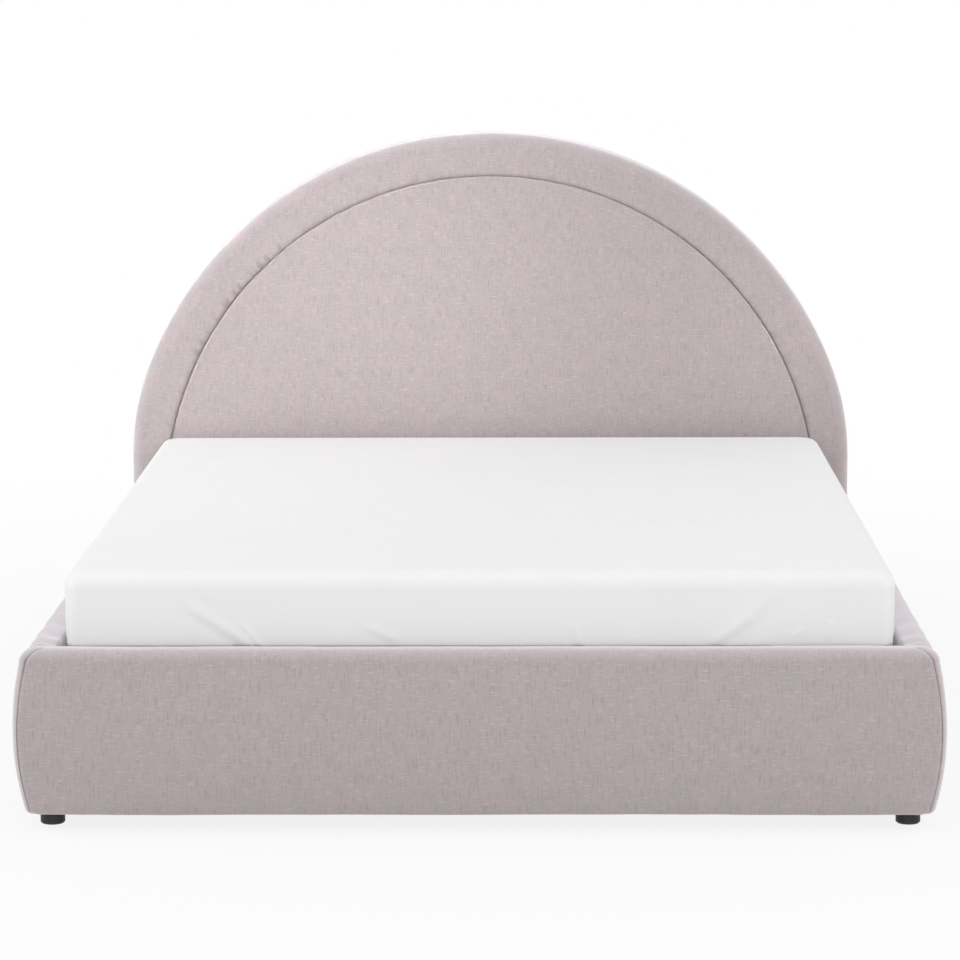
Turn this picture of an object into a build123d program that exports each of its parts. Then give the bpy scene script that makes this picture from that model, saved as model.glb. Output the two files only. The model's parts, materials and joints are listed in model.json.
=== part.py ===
from build123d import *
import os
from math import asin, atan2, cos, hypot, radians, sin, sqrt

# An upholstered storage bed: an arched headboard with a border band, bulging side rails and
# footboard, a slatted steel platform that lifts on two gas struts, and the mattress on it.
# Millimetres. X runs across the bed, Y along it with the headboard at the far end, Z up.
# The origin lies on the floor under the middle of the whole outline.

# Fits
seat_gap = 0.3
running_clearance = 0.1
cut_overrun = 5

# Mattress
mattress_width = 1600
mattress_length = 2000
mattress_height = 200
mattress_corner_radius = 70
mattress_rim_inset = 14
mattress_rim_height = 30
mattress_rim_lip = 2

# Room left round the mattress
side_room = 15
foot_room = 18
head_room = 34

# Side rails and footboard: a board inside foam and cloth, with a bulging outer face
foot_height = 30
panel_height = 320
board_thickness = 25
lining_thickness = 3
foam_thickness = 32
bulge_depth = 22
rim_foam = 14
underside_cloth = 4
outer_edge_radius = 10
inner_edge_radius = 3

# Headboard
crown_height = 1230
crown_excess = 20
rim_overhang = 6
shoulder_radius = 615
border_band = 104
pad_depth = 75
headboard_board = 22
back_cloth = 3
back_cloth_inset = 12
edge_cloth = 4
border_roll_radius = 28
seam_radius = 6
post_height = 200
post_lap = 55
post_width = 105

# Storage floor
ledge_width = 22
ledge_height = 18
floor_panel_thickness = 5
floor_panel_gap = 2
floor_panel_count = 4
beam_width = 60
beam_height = 30
beam_end_gap = 0.5

# Feet
foot_radius = 24
foot_edge = 3
foot_plate_radius = 18
foot_plate_height = 4
front_foot_setback = 14
rear_foot_setback = 40
beam_foot_radius = 20
beam_foot_count = 3

# Corner brackets and their bolts
bracket_leg = 42
bracket_height = 120
bracket_thickness = 3
bracket_lift = 40
bracket_bend_radius = 5
bracket_bolt_share = 0.6
bracket_bolt_height_shares = (0.25, 0.75)
hex_sides = 6
bolt_head_radius = 7
bolt_head_height = 3
bolt_radius = 4
bolt_length = 24

# Platform frame of welded tube
storage_depth = 189
tube_width = 40
tube_height = 30
tube_wall = 2
tube_corner = 3
drain_hole_radius = 4
frame_head_inset = 2
frame_foot_proud = 0.5

# Slats and their holders
slat_count = 13
slat_width = 63
slat_thickness = 8
slat_bow = 8
slat_play = 0.8
slat_grip = 24
holder_length = 36
holder_wall = 2.7
holder_roof = 1.6
holder_floor = 4
holder_edge = 3
centre_holder_length = 64

# Lift hinges
hinge_plate_thickness = 4
arm_thickness = 4
arm_play = 0.5
pivot_from_head = 345
pivot_below_rim = 28
pivot_pin_radius = 6
pin_head_radius = 10
pin_head_height = 2.5
plate_boss_radius = 22
plate_bolt_setback = 83
plate_foot_rise = 43
plate_middle_bolt_share = 0.17
arm_boss_radius = 20
arm_bar_radius = 14
arm_bar_start = 90
arm_length = 460
arm_bolt_shares = (0.06, 0.5, 0.75, 1)
arm_bolt_head_radius = 6.5
arm_bolt_radius = 3.5
lift_angle = 34

# Gas struts
strut_line_inset = 25
lower_stud_setback = 60
lower_stud_rise = 31
upper_stud_drop = 37
stud_radius = 4
stud_flange_radius = 7
stud_cap_radius = 6
stud_cap_height = 2
eye_radius = 9
eye_width = 12
eye_neck_radius = 4.5
eye_neck_length = 24
cylinder_radius = 11
cylinder_wall = 1.5
cylinder_base = 4
gland_length = 12
gland_edge = 1.5
strut_rod_radius = 5
rod_clearance = 0.2
piston_radius = 9
piston_length = 8
piston_rest_gap = 2
cylinder_spare = 104

# Where the platform rests at the foot end
rest_spread = 1000
rest_width = 60
rest_leg = 50
rest_lip = 4
rest_thickness = 3
rest_pad_height = 6
rest_pad_length = 24
rest_pad_corner = 3

# Mattress stops and pull loop
stop_spread = 700
stop_width = 180
stop_height = 58
stop_rod_radius = 4
stop_bend_radius = 18
strap_width = 30
strap_thickness = 2
strap_loop_gap = 7
strap_loop_height = 48
strap_tail_height = 22
rivet_radius = 3
rivet_head_radius = 5
rivet_head_height = 1.5
rivet_spread = 14

# Places worked out from the sizes above
cavity_half_width = mattress_width / 2 + side_room
cavity_length = mattress_length + foot_room + head_room
panel_flat_thickness = lining_thickness + board_thickness + foam_thickness
panel_thickness = panel_flat_thickness + bulge_depth
rim_half_width = cavity_half_width + panel_flat_thickness
headboard_half_width = rim_half_width + rim_overhang
crown_radius = headboard_half_width + crown_excess
crown_centre_z = crown_height - crown_radius
headboard_thickness = pad_depth + headboard_board + back_cloth
overall_length = panel_thickness + cavity_length + headboard_thickness
foot_face_y = panel_thickness - overall_length / 2
head_face_y = foot_face_y + cavity_length
panel_top_z = foot_height + panel_height
panel_middle_z = foot_height + panel_height / 2
board_bottom_z = foot_height + underside_cloth
board_height = panel_height - underside_cloth - rim_foam
board_face = cavity_half_width + lining_thickness
storage_floor_z = foot_height + ledge_height + floor_panel_thickness
floor_support_z = foot_height + ledge_height
frame_underside_z = storage_floor_z + storage_depth
frame_top_z = frame_underside_z + tube_height
frame_half_width = cavity_half_width - hinge_plate_thickness - arm_play - arm_thickness
frame_foot_y = head_face_y - head_room - mattress_length - frame_foot_proud
frame_head_y = head_face_y - head_room - frame_head_inset
slat_end_z = frame_top_z + holder_floor + slat_play
holder_width = slat_width + 2 * (slat_play + holder_wall)
holder_height = holder_floor + slat_thickness + 3 * slat_play + holder_roof
mattress_bottom_z = slat_end_z + slat_thickness + slat_bow + seat_gap
pivot_y = head_face_y - pivot_from_head
pivot_z = panel_top_z - pivot_below_rim
lower_stud_y = pivot_y + lower_stud_setback
lower_stud_z = storage_floor_z + lower_stud_rise
# Both studs lie on one circle about the pivot, so the strut turns half as far as the platform.
stud_circle_radius = hypot(lower_stud_setback, pivot_z - lower_stud_z)
upper_stud_z = frame_underside_z - upper_stud_drop
upper_stud_y = pivot_y - sqrt(stud_circle_radius**2 - (pivot_z - upper_stud_z) ** 2)
strut_rest_length = hypot(lower_stud_y - upper_stud_y, upper_stud_z - lower_stud_z)
strut_tilt = atan2(upper_stud_z - lower_stud_z, lower_stud_y - upper_stud_y)
strut_x = cavity_half_width - strut_line_inset
strut_direction = Vector(0, -cos(strut_tilt), sin(strut_tilt))
closed_angle = 2 * asin(strut_rest_length / (2 * stud_circle_radius))
strut_open_length = 2 * stud_circle_radius * sin((closed_angle + radians(lift_angle)) / 2)
stroke = strut_open_length - strut_rest_length
cylinder_length = cylinder_base + piston_rest_gap + piston_length + stroke + cylinder_spare
hinge_plate_x = cavity_half_width - hinge_plate_thickness
arm_inner_x = frame_half_width
arm_outer_x = frame_half_width + arm_thickness
right_foot_x = board_face + board_thickness / 2
foot_front_y = foot_face_y + front_foot_setback
foot_rear_y = head_face_y - rear_foot_setback
bracket_bottom_z = foot_height + bracket_lift
bracket_bolt_heights = [bracket_bottom_z + bracket_height * share for share in bracket_bolt_height_shares]

os.makedirs("parts", exist_ok=True)


def keep(shape, node_name):
    shape.label = node_name
    export_step(shape, f"parts/{node_name}.step")


def keep_pair(shape, stem):
    # The shape is the right-hand one, and the left-hand one is its mirror image.
    keep(shape, f"{stem}_right")
    keep(mirror(shape, about=Plane.YZ), f"{stem}_left")


def bar(start, direction, radius, length, mode=Mode.ADD):
    # A round bar, or a bore, in the sub-part that is being built.
    with BuildSketch(Plane(origin=start, z_dir=direction)) as section:
        Circle(radius)
    extrude(section.sketch, amount=length, mode=mode)


def block(low, high, mode=Mode.ADD):
    # A square-edged block between two corners, in the sub-part that is being built.
    middle = [(near + far) / 2 for near, far in zip(low, high)]
    extent = [far - near for near, far in zip(low, high)]
    with BuildSketch(Plane.XY.offset(low[2])) as base:
        with Locations((middle[0], middle[1])):
            Rectangle(extent[0], extent[1])
    extrude(base.sketch, amount=extent[2], mode=mode)


def hex_head(seat, outward, radius):
    # A low hexagonal head standing on its seat, with its corners on a circle of the radius.
    with BuildSketch(Plane(origin=seat, z_dir=outward)) as section:
        RegularPolygon(radius, hex_sides)
    extrude(section.sketch, amount=bolt_head_height)


def bolt(seat, outward):
    # A bolt whose head stands on the seat and whose shank goes the other way.
    hex_head(seat, outward, bolt_head_radius)
    bar(seat, outward * -1, bolt_radius, bolt_length)


def bolt_bore(seat, outward):
    bar(seat, outward * -1, bolt_radius + running_clearance, bolt_length + running_clearance, Mode.SUBTRACT)


# Bolt places, each the middle of a bracket's or plate's inner face and the way its head points
def bracket_seats(side, end):
    # The legs of one corner bracket: side is 1 on the right, end is 1 at the headboard.
    corner_y = head_face_y if end > 0 else foot_face_y
    rail_y = corner_y - end * bracket_leg * bracket_bolt_share
    board_x = side * (cavity_half_width - bracket_leg * bracket_bolt_share)
    rail_x = side * (cavity_half_width - bracket_thickness)
    seats = []
    for height in bracket_bolt_heights:
        seats.append((Vector(rail_x, rail_y, height), Vector(-side, 0, 0)))
        seats.append((Vector(board_x, corner_y - end * bracket_thickness, height), Vector(0, -end, 0)))
    return seats


def plate_bolt_seats():
    back_y = pivot_y + plate_bolt_setback
    low_z = storage_floor_z + plate_foot_rise
    places = [
        (back_y, pivot_z),
        (back_y, (pivot_z + low_z) / 2),
        (back_y, low_z),
        (pivot_y + plate_bolt_setback * plate_middle_bolt_share, (pivot_z + low_z) / 2),
    ]
    return [(Vector(hinge_plate_x, y, z), Vector(-1, 0, 0)) for y, z in places]


def rail_bolt_seats():
    seats = plate_bolt_seats()
    for end in (-1, 1):
        seats += [seat for seat in bracket_seats(1, end) if seat[1].X != 0]
    return seats


# Panel section in the plane across the bed, with its outer face bulging like a drum
def panel_section(inner, outer, middle):
    with BuildSketch() as section:
        with BuildLine():
            top_outer = (outer, panel_top_z)
            bottom_outer = (outer, foot_height)
            Line((inner, foot_height), (inner, panel_top_z))
            Line((inner, panel_top_z), top_outer)
            ThreePointArc(top_outer, (middle, panel_middle_z), bottom_outer)
            Line(bottom_outer, (inner, foot_height))
        make_face()
        outer_corners = section.vertices().group_by(Axis.X)[-1]
        inner_corners = section.vertices().group_by(Axis.X)[0]
        fillet(outer_corners, outer_edge_radius)
        fillet(inner_corners, inner_edge_radius)
    return section.sketch


def make_side_rails():
    plane = Plane(origin=(0, head_face_y, 0), x_dir=(1, 0, 0), z_dir=(0, -1, 0))
    section = panel_section(cavity_half_width, rim_half_width, rim_half_width + bulge_depth)
    with BuildPart() as side_rail_cover:
        extrude(plane * section, amount=cavity_length)
        block(
            (board_face, foot_face_y - cut_overrun, board_bottom_z),
            (board_face + board_thickness, head_face_y + cut_overrun, board_bottom_z + board_height),
            Mode.SUBTRACT,
        )
        for seat, outward in rail_bolt_seats():
            bolt_bore(seat, outward)
    keep_pair(side_rail_cover.part, "side_rail_cover")

    with BuildPart() as side_rail_board:
        block(
            (board_face, foot_face_y, board_bottom_z),
            (board_face + board_thickness, head_face_y, board_bottom_z + board_height),
        )
        for seat, outward in rail_bolt_seats():
            bolt_bore(seat, outward)
    keep_pair(side_rail_board.part, "side_rail_board")


def footboard_bolt_seats():
    seats = []
    for side in (-1, 1):
        seats += [seat for seat in bracket_seats(side, -1) if seat[1].Y != 0]
    return seats


def make_footboard():
    # The front bulge runs across the bed and the end bulges run along it: where the two
    # swept faces cross is the upright corner seam.
    board_low = (-rim_half_width + foam_thickness, foot_face_y - lining_thickness - board_thickness)
    board_high = (rim_half_width - foam_thickness, foot_face_y - lining_thickness)
    across = Plane(origin=(0, foot_face_y, 0), x_dir=(0, -1, 0), z_dir=(-1, 0, 0))
    front_section = panel_section(0, panel_flat_thickness, panel_thickness)
    end_section = panel_section(0, rim_half_width, rim_half_width + bulge_depth)
    along = Plane(origin=(0, foot_face_y, 0), x_dir=(1, 0, 0), z_dir=(0, -1, 0))
    with BuildPart() as footboard_cover:
        extrude(across * front_section, amount=rim_half_width + bulge_depth, both=True)
        with BuildPart(mode=Mode.INTERSECT):
            extrude(along * end_section, amount=panel_thickness)
            mirror(about=Plane.YZ)
        block(
            (board_low[0], board_low[1], board_bottom_z),
            (board_high[0], board_high[1], board_bottom_z + board_height),
            Mode.SUBTRACT,
        )
        for seat, outward in footboard_bolt_seats():
            bolt_bore(seat, outward)
    keep(footboard_cover.part, "footboard_cover")

    with BuildPart() as footboard_board:
        block(
            (board_low[0], board_low[1], board_bottom_z),
            (board_high[0], board_high[1], board_bottom_z + board_height),
        )
        for seat, outward in footboard_bolt_seats():
            bolt_bore(seat, outward)
    keep(footboard_board.part, "footboard_board")


def arch_face(inset):
    # The headboard's outline of three tangent arcs, drawn in all round by the inset but the foot.
    half_width = headboard_half_width - inset
    centre_gap = crown_radius - shoulder_radius
    shoulder_x = headboard_half_width - shoulder_radius
    shoulder_rise = sqrt(centre_gap**2 - shoulder_x**2)
    shoulder_z = crown_centre_z + shoulder_rise
    radius = crown_radius - inset
    join = (radius * shoulder_x / centre_gap, crown_centre_z + radius * shoulder_rise / centre_gap)
    with BuildSketch() as face:
        with BuildLine():
            Line((-half_width, foot_height), (half_width, foot_height))
            Line((half_width, foot_height), (half_width, shoulder_z))
            RadiusArc((half_width, shoulder_z), join, -(shoulder_radius - inset))
            ThreePointArc(join, (0, crown_centre_z + radius), (-join[0], join[1]))
            RadiusArc((-join[0], join[1]), (-half_width, shoulder_z), -(shoulder_radius - inset))
            Line((-half_width, shoulder_z), (-half_width, foot_height))
        make_face()
    return face.sketch


def centre_pad_face():
    # A half round on upright sides.
    radius = crown_radius - border_band
    left = (-radius, crown_centre_z)
    right = (radius, crown_centre_z)
    with BuildSketch() as face:
        with BuildLine():
            Polyline(left, (-radius, foot_height), (radius, foot_height), right)
            ThreePointArc(right, (0, crown_centre_z + radius), left)
        make_face()
    return face.sketch


def headboard_bolt_seats():
    seats = []
    for side in (-1, 1):
        seats += [seat for seat in bracket_seats(side, 1) if seat[1].Y != 0]
    return seats


def post_blocks(mode):
    # The two lower posts that the rails are bolted to, behind a skin of cloth.
    inner_x = cavity_half_width - post_lap
    for side in (-1, 1):
        ends = sorted((side * inner_x, side * (inner_x + post_width)))
        low = (ends[0], head_face_y + lining_thickness, foot_height)
        high = (ends[1], head_face_y + pad_depth, foot_height + post_height)
        block(low, high, mode)


def front_arcs(pad, radius):
    # The front edges of a pad that are arcs of one radius.
    arcs = pad.edges().filter_by(GeomType.CIRCLE)
    arcs = arcs.filter_by(lambda edge: abs(edge.radius - radius) < seat_gap)
    return arcs.group_by(Axis.Y)[0]


def make_headboard():
    front = Plane(origin=(0, head_face_y, 0), x_dir=(1, 0, 0), z_dir=(0, -1, 0))
    board_front = Plane(origin=(0, head_face_y + pad_depth, 0), x_dir=(1, 0, 0), z_dir=(0, -1, 0))
    board_back = board_front.offset(-headboard_board)

    with BuildPart() as headboard_centre_pad:
        extrude(front * centre_pad_face(), amount=-pad_depth)
        fillet(front_arcs(headboard_centre_pad, crown_radius - border_band), seam_radius)
        post_blocks(Mode.SUBTRACT)
        for seat, outward in headboard_bolt_seats():
            bolt_bore(seat, outward)
    keep(headboard_centre_pad.part, "headboard_centre_pad")

    with BuildPart() as headboard_border_pad:
        extrude(front * arch_face(0), amount=-(pad_depth + headboard_board))
        fillet(front_arcs(headboard_border_pad, crown_radius), border_roll_radius)
        extrude(front * centre_pad_face(), amount=-pad_depth, mode=Mode.SUBTRACT)
        fillet(front_arcs(headboard_border_pad, crown_radius - border_band), seam_radius)
        extrude(board_front * arch_face(edge_cloth), amount=-headboard_board, mode=Mode.SUBTRACT)
        post_blocks(Mode.SUBTRACT)
    keep(headboard_border_pad.part, "headboard_border_pad")

    with BuildPart() as headboard_frame:
        extrude(board_front * arch_face(edge_cloth), amount=-headboard_board)
        post_blocks(Mode.ADD)
        for seat, outward in headboard_bolt_seats():
            bolt_bore(seat, outward)
    keep(headboard_frame.part, "headboard_frame")

    with BuildPart() as headboard_back_cloth:
        extrude(board_back * arch_face(back_cloth_inset), amount=-back_cloth)
    keep(headboard_back_cloth.part, "headboard_back_cloth")


def make_storage_floor():
    with BuildPart() as floor_ledge:
        block(
            (cavity_half_width - ledge_width, foot_face_y, foot_height),
            (cavity_half_width, head_face_y, floor_support_z),
        )
    keep_pair(floor_ledge.part, "floor_ledge")

    with BuildPart() as floor_beam:
        block(
            (-beam_width / 2, foot_face_y + beam_end_gap, floor_support_z - beam_height),
            (beam_width / 2, head_face_y - beam_end_gap, floor_support_z),
        )
    keep(floor_beam.part, "floor_beam")

    pitch = (cavity_length - floor_panel_gap) / floor_panel_count
    for index in range(floor_panel_count):
        start_y = foot_face_y + floor_panel_gap + index * pitch
        with BuildPart() as floor_panel:
            block(
                (-cavity_half_width + floor_panel_gap, start_y, floor_support_z),
                (cavity_half_width - floor_panel_gap, start_y + pitch - floor_panel_gap, storage_floor_z),
            )
        keep(floor_panel.part, f"storage_floor_panel_{index + 1}")


def round_foot(centre_x, centre_y, radius, height):
    # A turned glide: a wide foot with an eased lower edge under a narrower plate.
    plane = Plane(origin=(centre_x, centre_y, 0), x_dir=(1, 0, 0), z_dir=(0, -1, 0))
    plate = radius * foot_plate_radius / foot_radius
    with BuildSketch(plane) as profile:
        with BuildLine():
            Polyline(
                (0, 0),
                (radius - foot_edge, 0),
                (radius, foot_edge),
                (radius, height - foot_plate_height),
                (plate, height - foot_plate_height),
                (plate, height),
                (0, height),
                close=True,
            )
        make_face()
    revolve(profile.sketch, axis=Axis((centre_x, centre_y, 0), (0, 0, 1)))


def make_feet():
    for place, centre_y in (("front", foot_front_y), ("rear", foot_rear_y)):
        with BuildPart() as foot:
            round_foot(right_foot_x, centre_y, foot_radius, foot_height)
        keep_pair(foot.part, f"foot_{place}")

    with BuildPart() as floor_beam_feet:
        for index in range(beam_foot_count):
            foot_y = foot_face_y + cavity_length * (index + 1 / 2) / beam_foot_count
            round_foot(0, foot_y, beam_foot_radius, floor_support_z - beam_height)
    keep(floor_beam_feet.part, "floor_beam_feet")


def make_corner_brackets():
    for place, end in (("front", -1), ("rear", 1)):
        corner_y = head_face_y if end > 0 else foot_face_y
        inner_y = corner_y - end * bracket_leg
        leg_y = corner_y - end * bracket_thickness
        leg_x = cavity_half_width - bracket_thickness
        with BuildPart() as corner_bracket:
            with BuildSketch(Plane.XY.offset(bracket_bottom_z)) as angle:
                with BuildLine():
                    Polyline(
                        (cavity_half_width, corner_y),
                        (cavity_half_width, inner_y),
                        (leg_x, inner_y),
                        (leg_x, leg_y),
                        (cavity_half_width - bracket_leg, leg_y),
                        (cavity_half_width - bracket_leg, corner_y),
                        close=True,
                    )
                make_face()
                bend = angle.vertices().sort_by_distance((leg_x, leg_y, bracket_bottom_z))[0]
                fillet(bend, bracket_bend_radius)
            extrude(amount=bracket_height)
            for seat, outward in bracket_seats(1, end):
                bolt_bore(seat, outward)
        keep_pair(corner_bracket.part, f"corner_bracket_{place}")

    with BuildPart() as corner_bracket_bolts:
        for side in (-1, 1):
            for end in (-1, 1):
                for seat, outward in bracket_seats(side, end):
                    bolt(seat, outward)
    keep(corner_bracket_bolts.part, "corner_bracket_bolts")


def side_plane(x):
    # Drawing plane along the bed: local X towards the headboard, local Y up, facing outwards.
    return Plane(origin=(x, 0, 0), x_dir=(0, 1, 0), z_dir=(1, 0, 0))


def hull_face(x, *rounds):
    # The outline that a band would take when pulled round several discs of (y, z, radius).
    with BuildSketch(side_plane(x)) as face:
        with BuildSketch(mode=Mode.PRIVATE) as discs:
            for centre_y, centre_z, radius in rounds:
                with Locations((centre_y, centre_z)):
                    Circle(radius)
        make_hull(discs.edges())
    return face.sketch


def arm_bolt_places():
    bar_z = frame_underside_z + tube_height / 2
    first_y = pivot_y - arm_bar_start
    last_y = pivot_y - arm_length
    return [(first_y + (last_y - first_y) * share, bar_z) for share in arm_bolt_shares]


def make_lift_hinges():
    stud_rise_z = storage_floor_z + plate_foot_rise
    back_y = pivot_y + plate_bolt_setback
    with BuildPart() as hinge_plate:
        outline = hull_face(
            hinge_plate_x,
            (pivot_y, pivot_z, plate_boss_radius),
            (back_y, pivot_z, plate_boss_radius),
            (back_y, stud_rise_z, plate_boss_radius),
            (lower_stud_y, lower_stud_z, plate_boss_radius),
        )
        extrude(outline, amount=hinge_plate_thickness)
        bore_radius = pivot_pin_radius + running_clearance
        pivot_start = (hinge_plate_x - cut_overrun, pivot_y, pivot_z)
        bar(pivot_start, (1, 0, 0), bore_radius, cut_overrun + hinge_plate_thickness, Mode.SUBTRACT)
        stud_start = (hinge_plate_x - cut_overrun, lower_stud_y, lower_stud_z)
        stud_bore = stud_radius + running_clearance
        bar(stud_start, (1, 0, 0), stud_bore, cut_overrun + hinge_plate_thickness, Mode.SUBTRACT)
        for seat, outward in plate_bolt_seats():
            bolt_bore(seat, outward)
    keep_pair(hinge_plate.part, "hinge_plate")

    with BuildPart() as hinge_plate_bolts:
        for seat, outward in plate_bolt_seats():
            bolt(seat, outward)
        mirror(about=Plane.YZ)
    keep(hinge_plate_bolts.part, "hinge_plate_bolts")

    with BuildPart() as hinge_pin:
        head_x = arm_inner_x - running_clearance
        bar((head_x, pivot_y, pivot_z), (-1, 0, 0), pin_head_radius, pin_head_height)
        bar((head_x, pivot_y, pivot_z), (1, 0, 0), pivot_pin_radius, cavity_half_width - head_x)
    keep_pair(hinge_pin.part, "hinge_pin")

    bar_z = frame_underside_z + tube_height / 2
    bar_start_y = pivot_y - arm_bar_start
    bar_end_y = pivot_y - arm_length
    lobe_back_y = (upper_stud_y + bar_start_y) / 2
    with BuildPart() as platform_arm:
        neck = hull_face(
            arm_inner_x,
            (pivot_y, pivot_z, arm_boss_radius),
            (bar_start_y, bar_z, arm_bar_radius),
        )
        extrude(neck, amount=arm_thickness)
        web = hull_face(
            arm_inner_x,
            (bar_start_y, bar_z, arm_bar_radius),
            (bar_end_y, bar_z, arm_bar_radius),
        )
        extrude(web, amount=arm_thickness)
        lobe = hull_face(
            arm_inner_x,
            (lobe_back_y, bar_z, arm_bar_radius),
            (upper_stud_y, upper_stud_z, arm_bar_radius),
            (2 * upper_stud_y - lobe_back_y, bar_z, arm_bar_radius),
        )
        extrude(lobe, amount=arm_thickness)
        bores = [(pivot_y, pivot_z, pivot_pin_radius), (upper_stud_y, upper_stud_z, stud_radius)]
        bores += [(bolt_y, bolt_z, arm_bolt_radius) for bolt_y, bolt_z in arm_bolt_places()]
        bore_length = 2 * cut_overrun + arm_thickness
        for bore_y, bore_z, radius in bores:
            bore_start = (arm_inner_x - cut_overrun, bore_y, bore_z)
            bar(bore_start, (1, 0, 0), radius + running_clearance, bore_length, Mode.SUBTRACT)
    keep_pair(platform_arm.part, "platform_arm")

    with BuildPart() as platform_arm_bolts:
        for bolt_y, bolt_z in arm_bolt_places():
            hex_head((arm_outer_x, bolt_y, bolt_z), (1, 0, 0), arm_bolt_head_radius)
            shank_length = arm_thickness + tube_wall + bolt_head_height
            bar((arm_outer_x, bolt_y, bolt_z), (-1, 0, 0), arm_bolt_radius, shank_length)
        mirror(about=Plane.YZ)
    keep(platform_arm_bolts.part, "platform_arm_bolts")


def make_strut_studs():
    # Shouldered studs that the strut's eyes turn on, each with a flange and a cap.
    eye_outer = strut_x + eye_width / 2
    eye_inner = strut_x - eye_width / 2 - running_clearance
    for name, stud_y, stud_z, seat_x, back_x in (
        ("lower_stud", lower_stud_y, lower_stud_z, hinge_plate_x, cavity_half_width),
        ("upper_stud", upper_stud_y, upper_stud_z, arm_inner_x, arm_outer_x),
    ):
        with BuildPart() as stud:
            cap_end = eye_inner - stud_cap_height
            bar((cap_end, stud_y, stud_z), (1, 0, 0), stud_radius, back_x - cap_end)
            bar((cap_end, stud_y, stud_z), (1, 0, 0), stud_cap_radius, stud_cap_height)
            flange_length = seat_x - eye_outer - running_clearance
            bar((seat_x, stud_y, stud_z), (-1, 0, 0), stud_flange_radius, flange_length)
        keep_pair(stud.part, name)


def strut_plane(x):
    # Local X along the strut from its lower stud to its upper one, through the strut's axis.
    return Plane(origin=(x, lower_stud_y, lower_stud_z), x_dir=strut_direction, z_dir=(1, 0, 0))


def turned(points):
    # A body of revolution about the strut's axis, from (distance along it, radius) points.
    with BuildSketch(strut_plane(strut_x)) as profile:
        with BuildLine():
            Polyline(*points, close=True)
        make_face()
    axis = Axis((strut_x, lower_stud_y, lower_stud_z), strut_direction)
    revolve(profile.sketch, axis=axis)


def eye_fitting(along, towards):
    # A forged eye with a short threaded neck pointing one way along the strut.
    base = strut_plane(strut_x - eye_width / 2)
    with BuildSketch(base) as ring:
        with Locations((along, 0)):
            Circle(eye_radius)
    extrude(ring.sketch, amount=eye_width)
    centre = Vector(strut_x, lower_stud_y, lower_stud_z) + strut_direction * along
    bar(centre, strut_direction * towards, eye_neck_radius, eye_neck_length)
    bore_radius = stud_radius + running_clearance
    bore_start = centre - Vector(cut_overrun + eye_width / 2, 0, 0)
    bar(bore_start, (1, 0, 0), bore_radius, eye_width + 2 * cut_overrun, Mode.SUBTRACT)


def make_gas_struts():
    cylinder_start = eye_neck_length
    cylinder_end = cylinder_start + cylinder_length
    piston_start = cylinder_start + cylinder_base + piston_rest_gap
    rod_end = strut_rest_length - eye_neck_length
    inner_radius = cylinder_radius - cylinder_wall
    gland_radius = strut_rod_radius + rod_clearance
    with BuildPart() as strut_cylinder:
        turned(
            [
                (cylinder_start, 0),
                (cylinder_start, cylinder_radius - gland_edge),
                (cylinder_start + gland_edge, cylinder_radius),
                (cylinder_end - gland_edge, cylinder_radius),
                (cylinder_end, cylinder_radius - gland_edge),
                (cylinder_end, gland_radius),
                (cylinder_end - gland_length, gland_radius),
                (cylinder_end - gland_length, inner_radius),
                (cylinder_start + cylinder_base, inner_radius),
                (cylinder_start + cylinder_base, 0),
            ]
        )
    keep_pair(strut_cylinder.part, "strut_cylinder")

    with BuildPart() as strut_rod:
        turned(
            [
                (piston_start, 0),
                (piston_start, piston_radius),
                (piston_start + piston_length, piston_radius),
                (piston_start + piston_length, strut_rod_radius),
                (rod_end, strut_rod_radius),
                (rod_end, 0),
            ]
        )
    keep_pair(strut_rod.part, "strut_rod")

    with BuildPart() as strut_lower_eye:
        eye_fitting(0, 1)
    keep_pair(strut_lower_eye.part, "strut_lower_eye")

    with BuildPart() as strut_upper_eye:
        eye_fitting(strut_rest_length, -1)
    keep_pair(strut_upper_eye.part, "strut_upper_eye")


def make_platform_frame():
    length = frame_head_y - frame_foot_y
    middle_y = (frame_head_y + frame_foot_y) / 2
    inner_width = 2 * frame_half_width - 2 * tube_width
    inner_length = length - 2 * tube_width
    cavity_z = frame_underside_z + tube_wall
    cavity_height = tube_height - 2 * tube_wall
    with BuildPart() as platform_frame:
        with BuildSketch(Plane.XY.offset(frame_underside_z)):
            with Locations((0, middle_y)):
                RectangleRounded(2 * frame_half_width, length, tube_corner)
                Rectangle(inner_width, inner_length, mode=Mode.SUBTRACT)
                Rectangle(tube_width, inner_length)
                Rectangle(inner_width, tube_width)
        extrude(amount=tube_height)
        # The bore of the perimeter tubes and the bores of the two cross members
        with BuildSketch(Plane.XY.offset(cavity_z)):
            with Locations((0, middle_y)):
                Rectangle(2 * frame_half_width - 2 * tube_wall, length - 2 * tube_wall)
                ring_inner = (inner_width + 2 * tube_wall, inner_length + 2 * tube_wall)
                Rectangle(ring_inner[0], ring_inner[1], mode=Mode.SUBTRACT)
                Rectangle(tube_width - 2 * tube_wall, inner_length)
                Rectangle(inner_width, tube_width - 2 * tube_wall)
        extrude(amount=cavity_height, mode=Mode.SUBTRACT)
        drain_x = frame_half_width - tube_width / 2
        drain_reach = length / 2 - tube_width
        for drain_y in (middle_y - drain_reach, middle_y + drain_reach):
            for x in (-drain_x, drain_x):
                drain_start = (x, drain_y, frame_underside_z - cut_overrun)
                bar(drain_start, (0, 0, 1), drain_hole_radius, cut_overrun + 2 * tube_wall, Mode.SUBTRACT)
        for side in (-1, 1):
            for bolt_y, bolt_z in arm_bolt_places():
                bolt_start = (side * (frame_half_width + cut_overrun), bolt_y, bolt_z)
                bore_length = cut_overrun + 2 * tube_wall
                bore_radius = arm_bolt_radius + running_clearance
                bar(bolt_start, (-side, 0, 0), bore_radius, bore_length, Mode.SUBTRACT)
    keep(platform_frame.part, "platform_frame")


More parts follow.
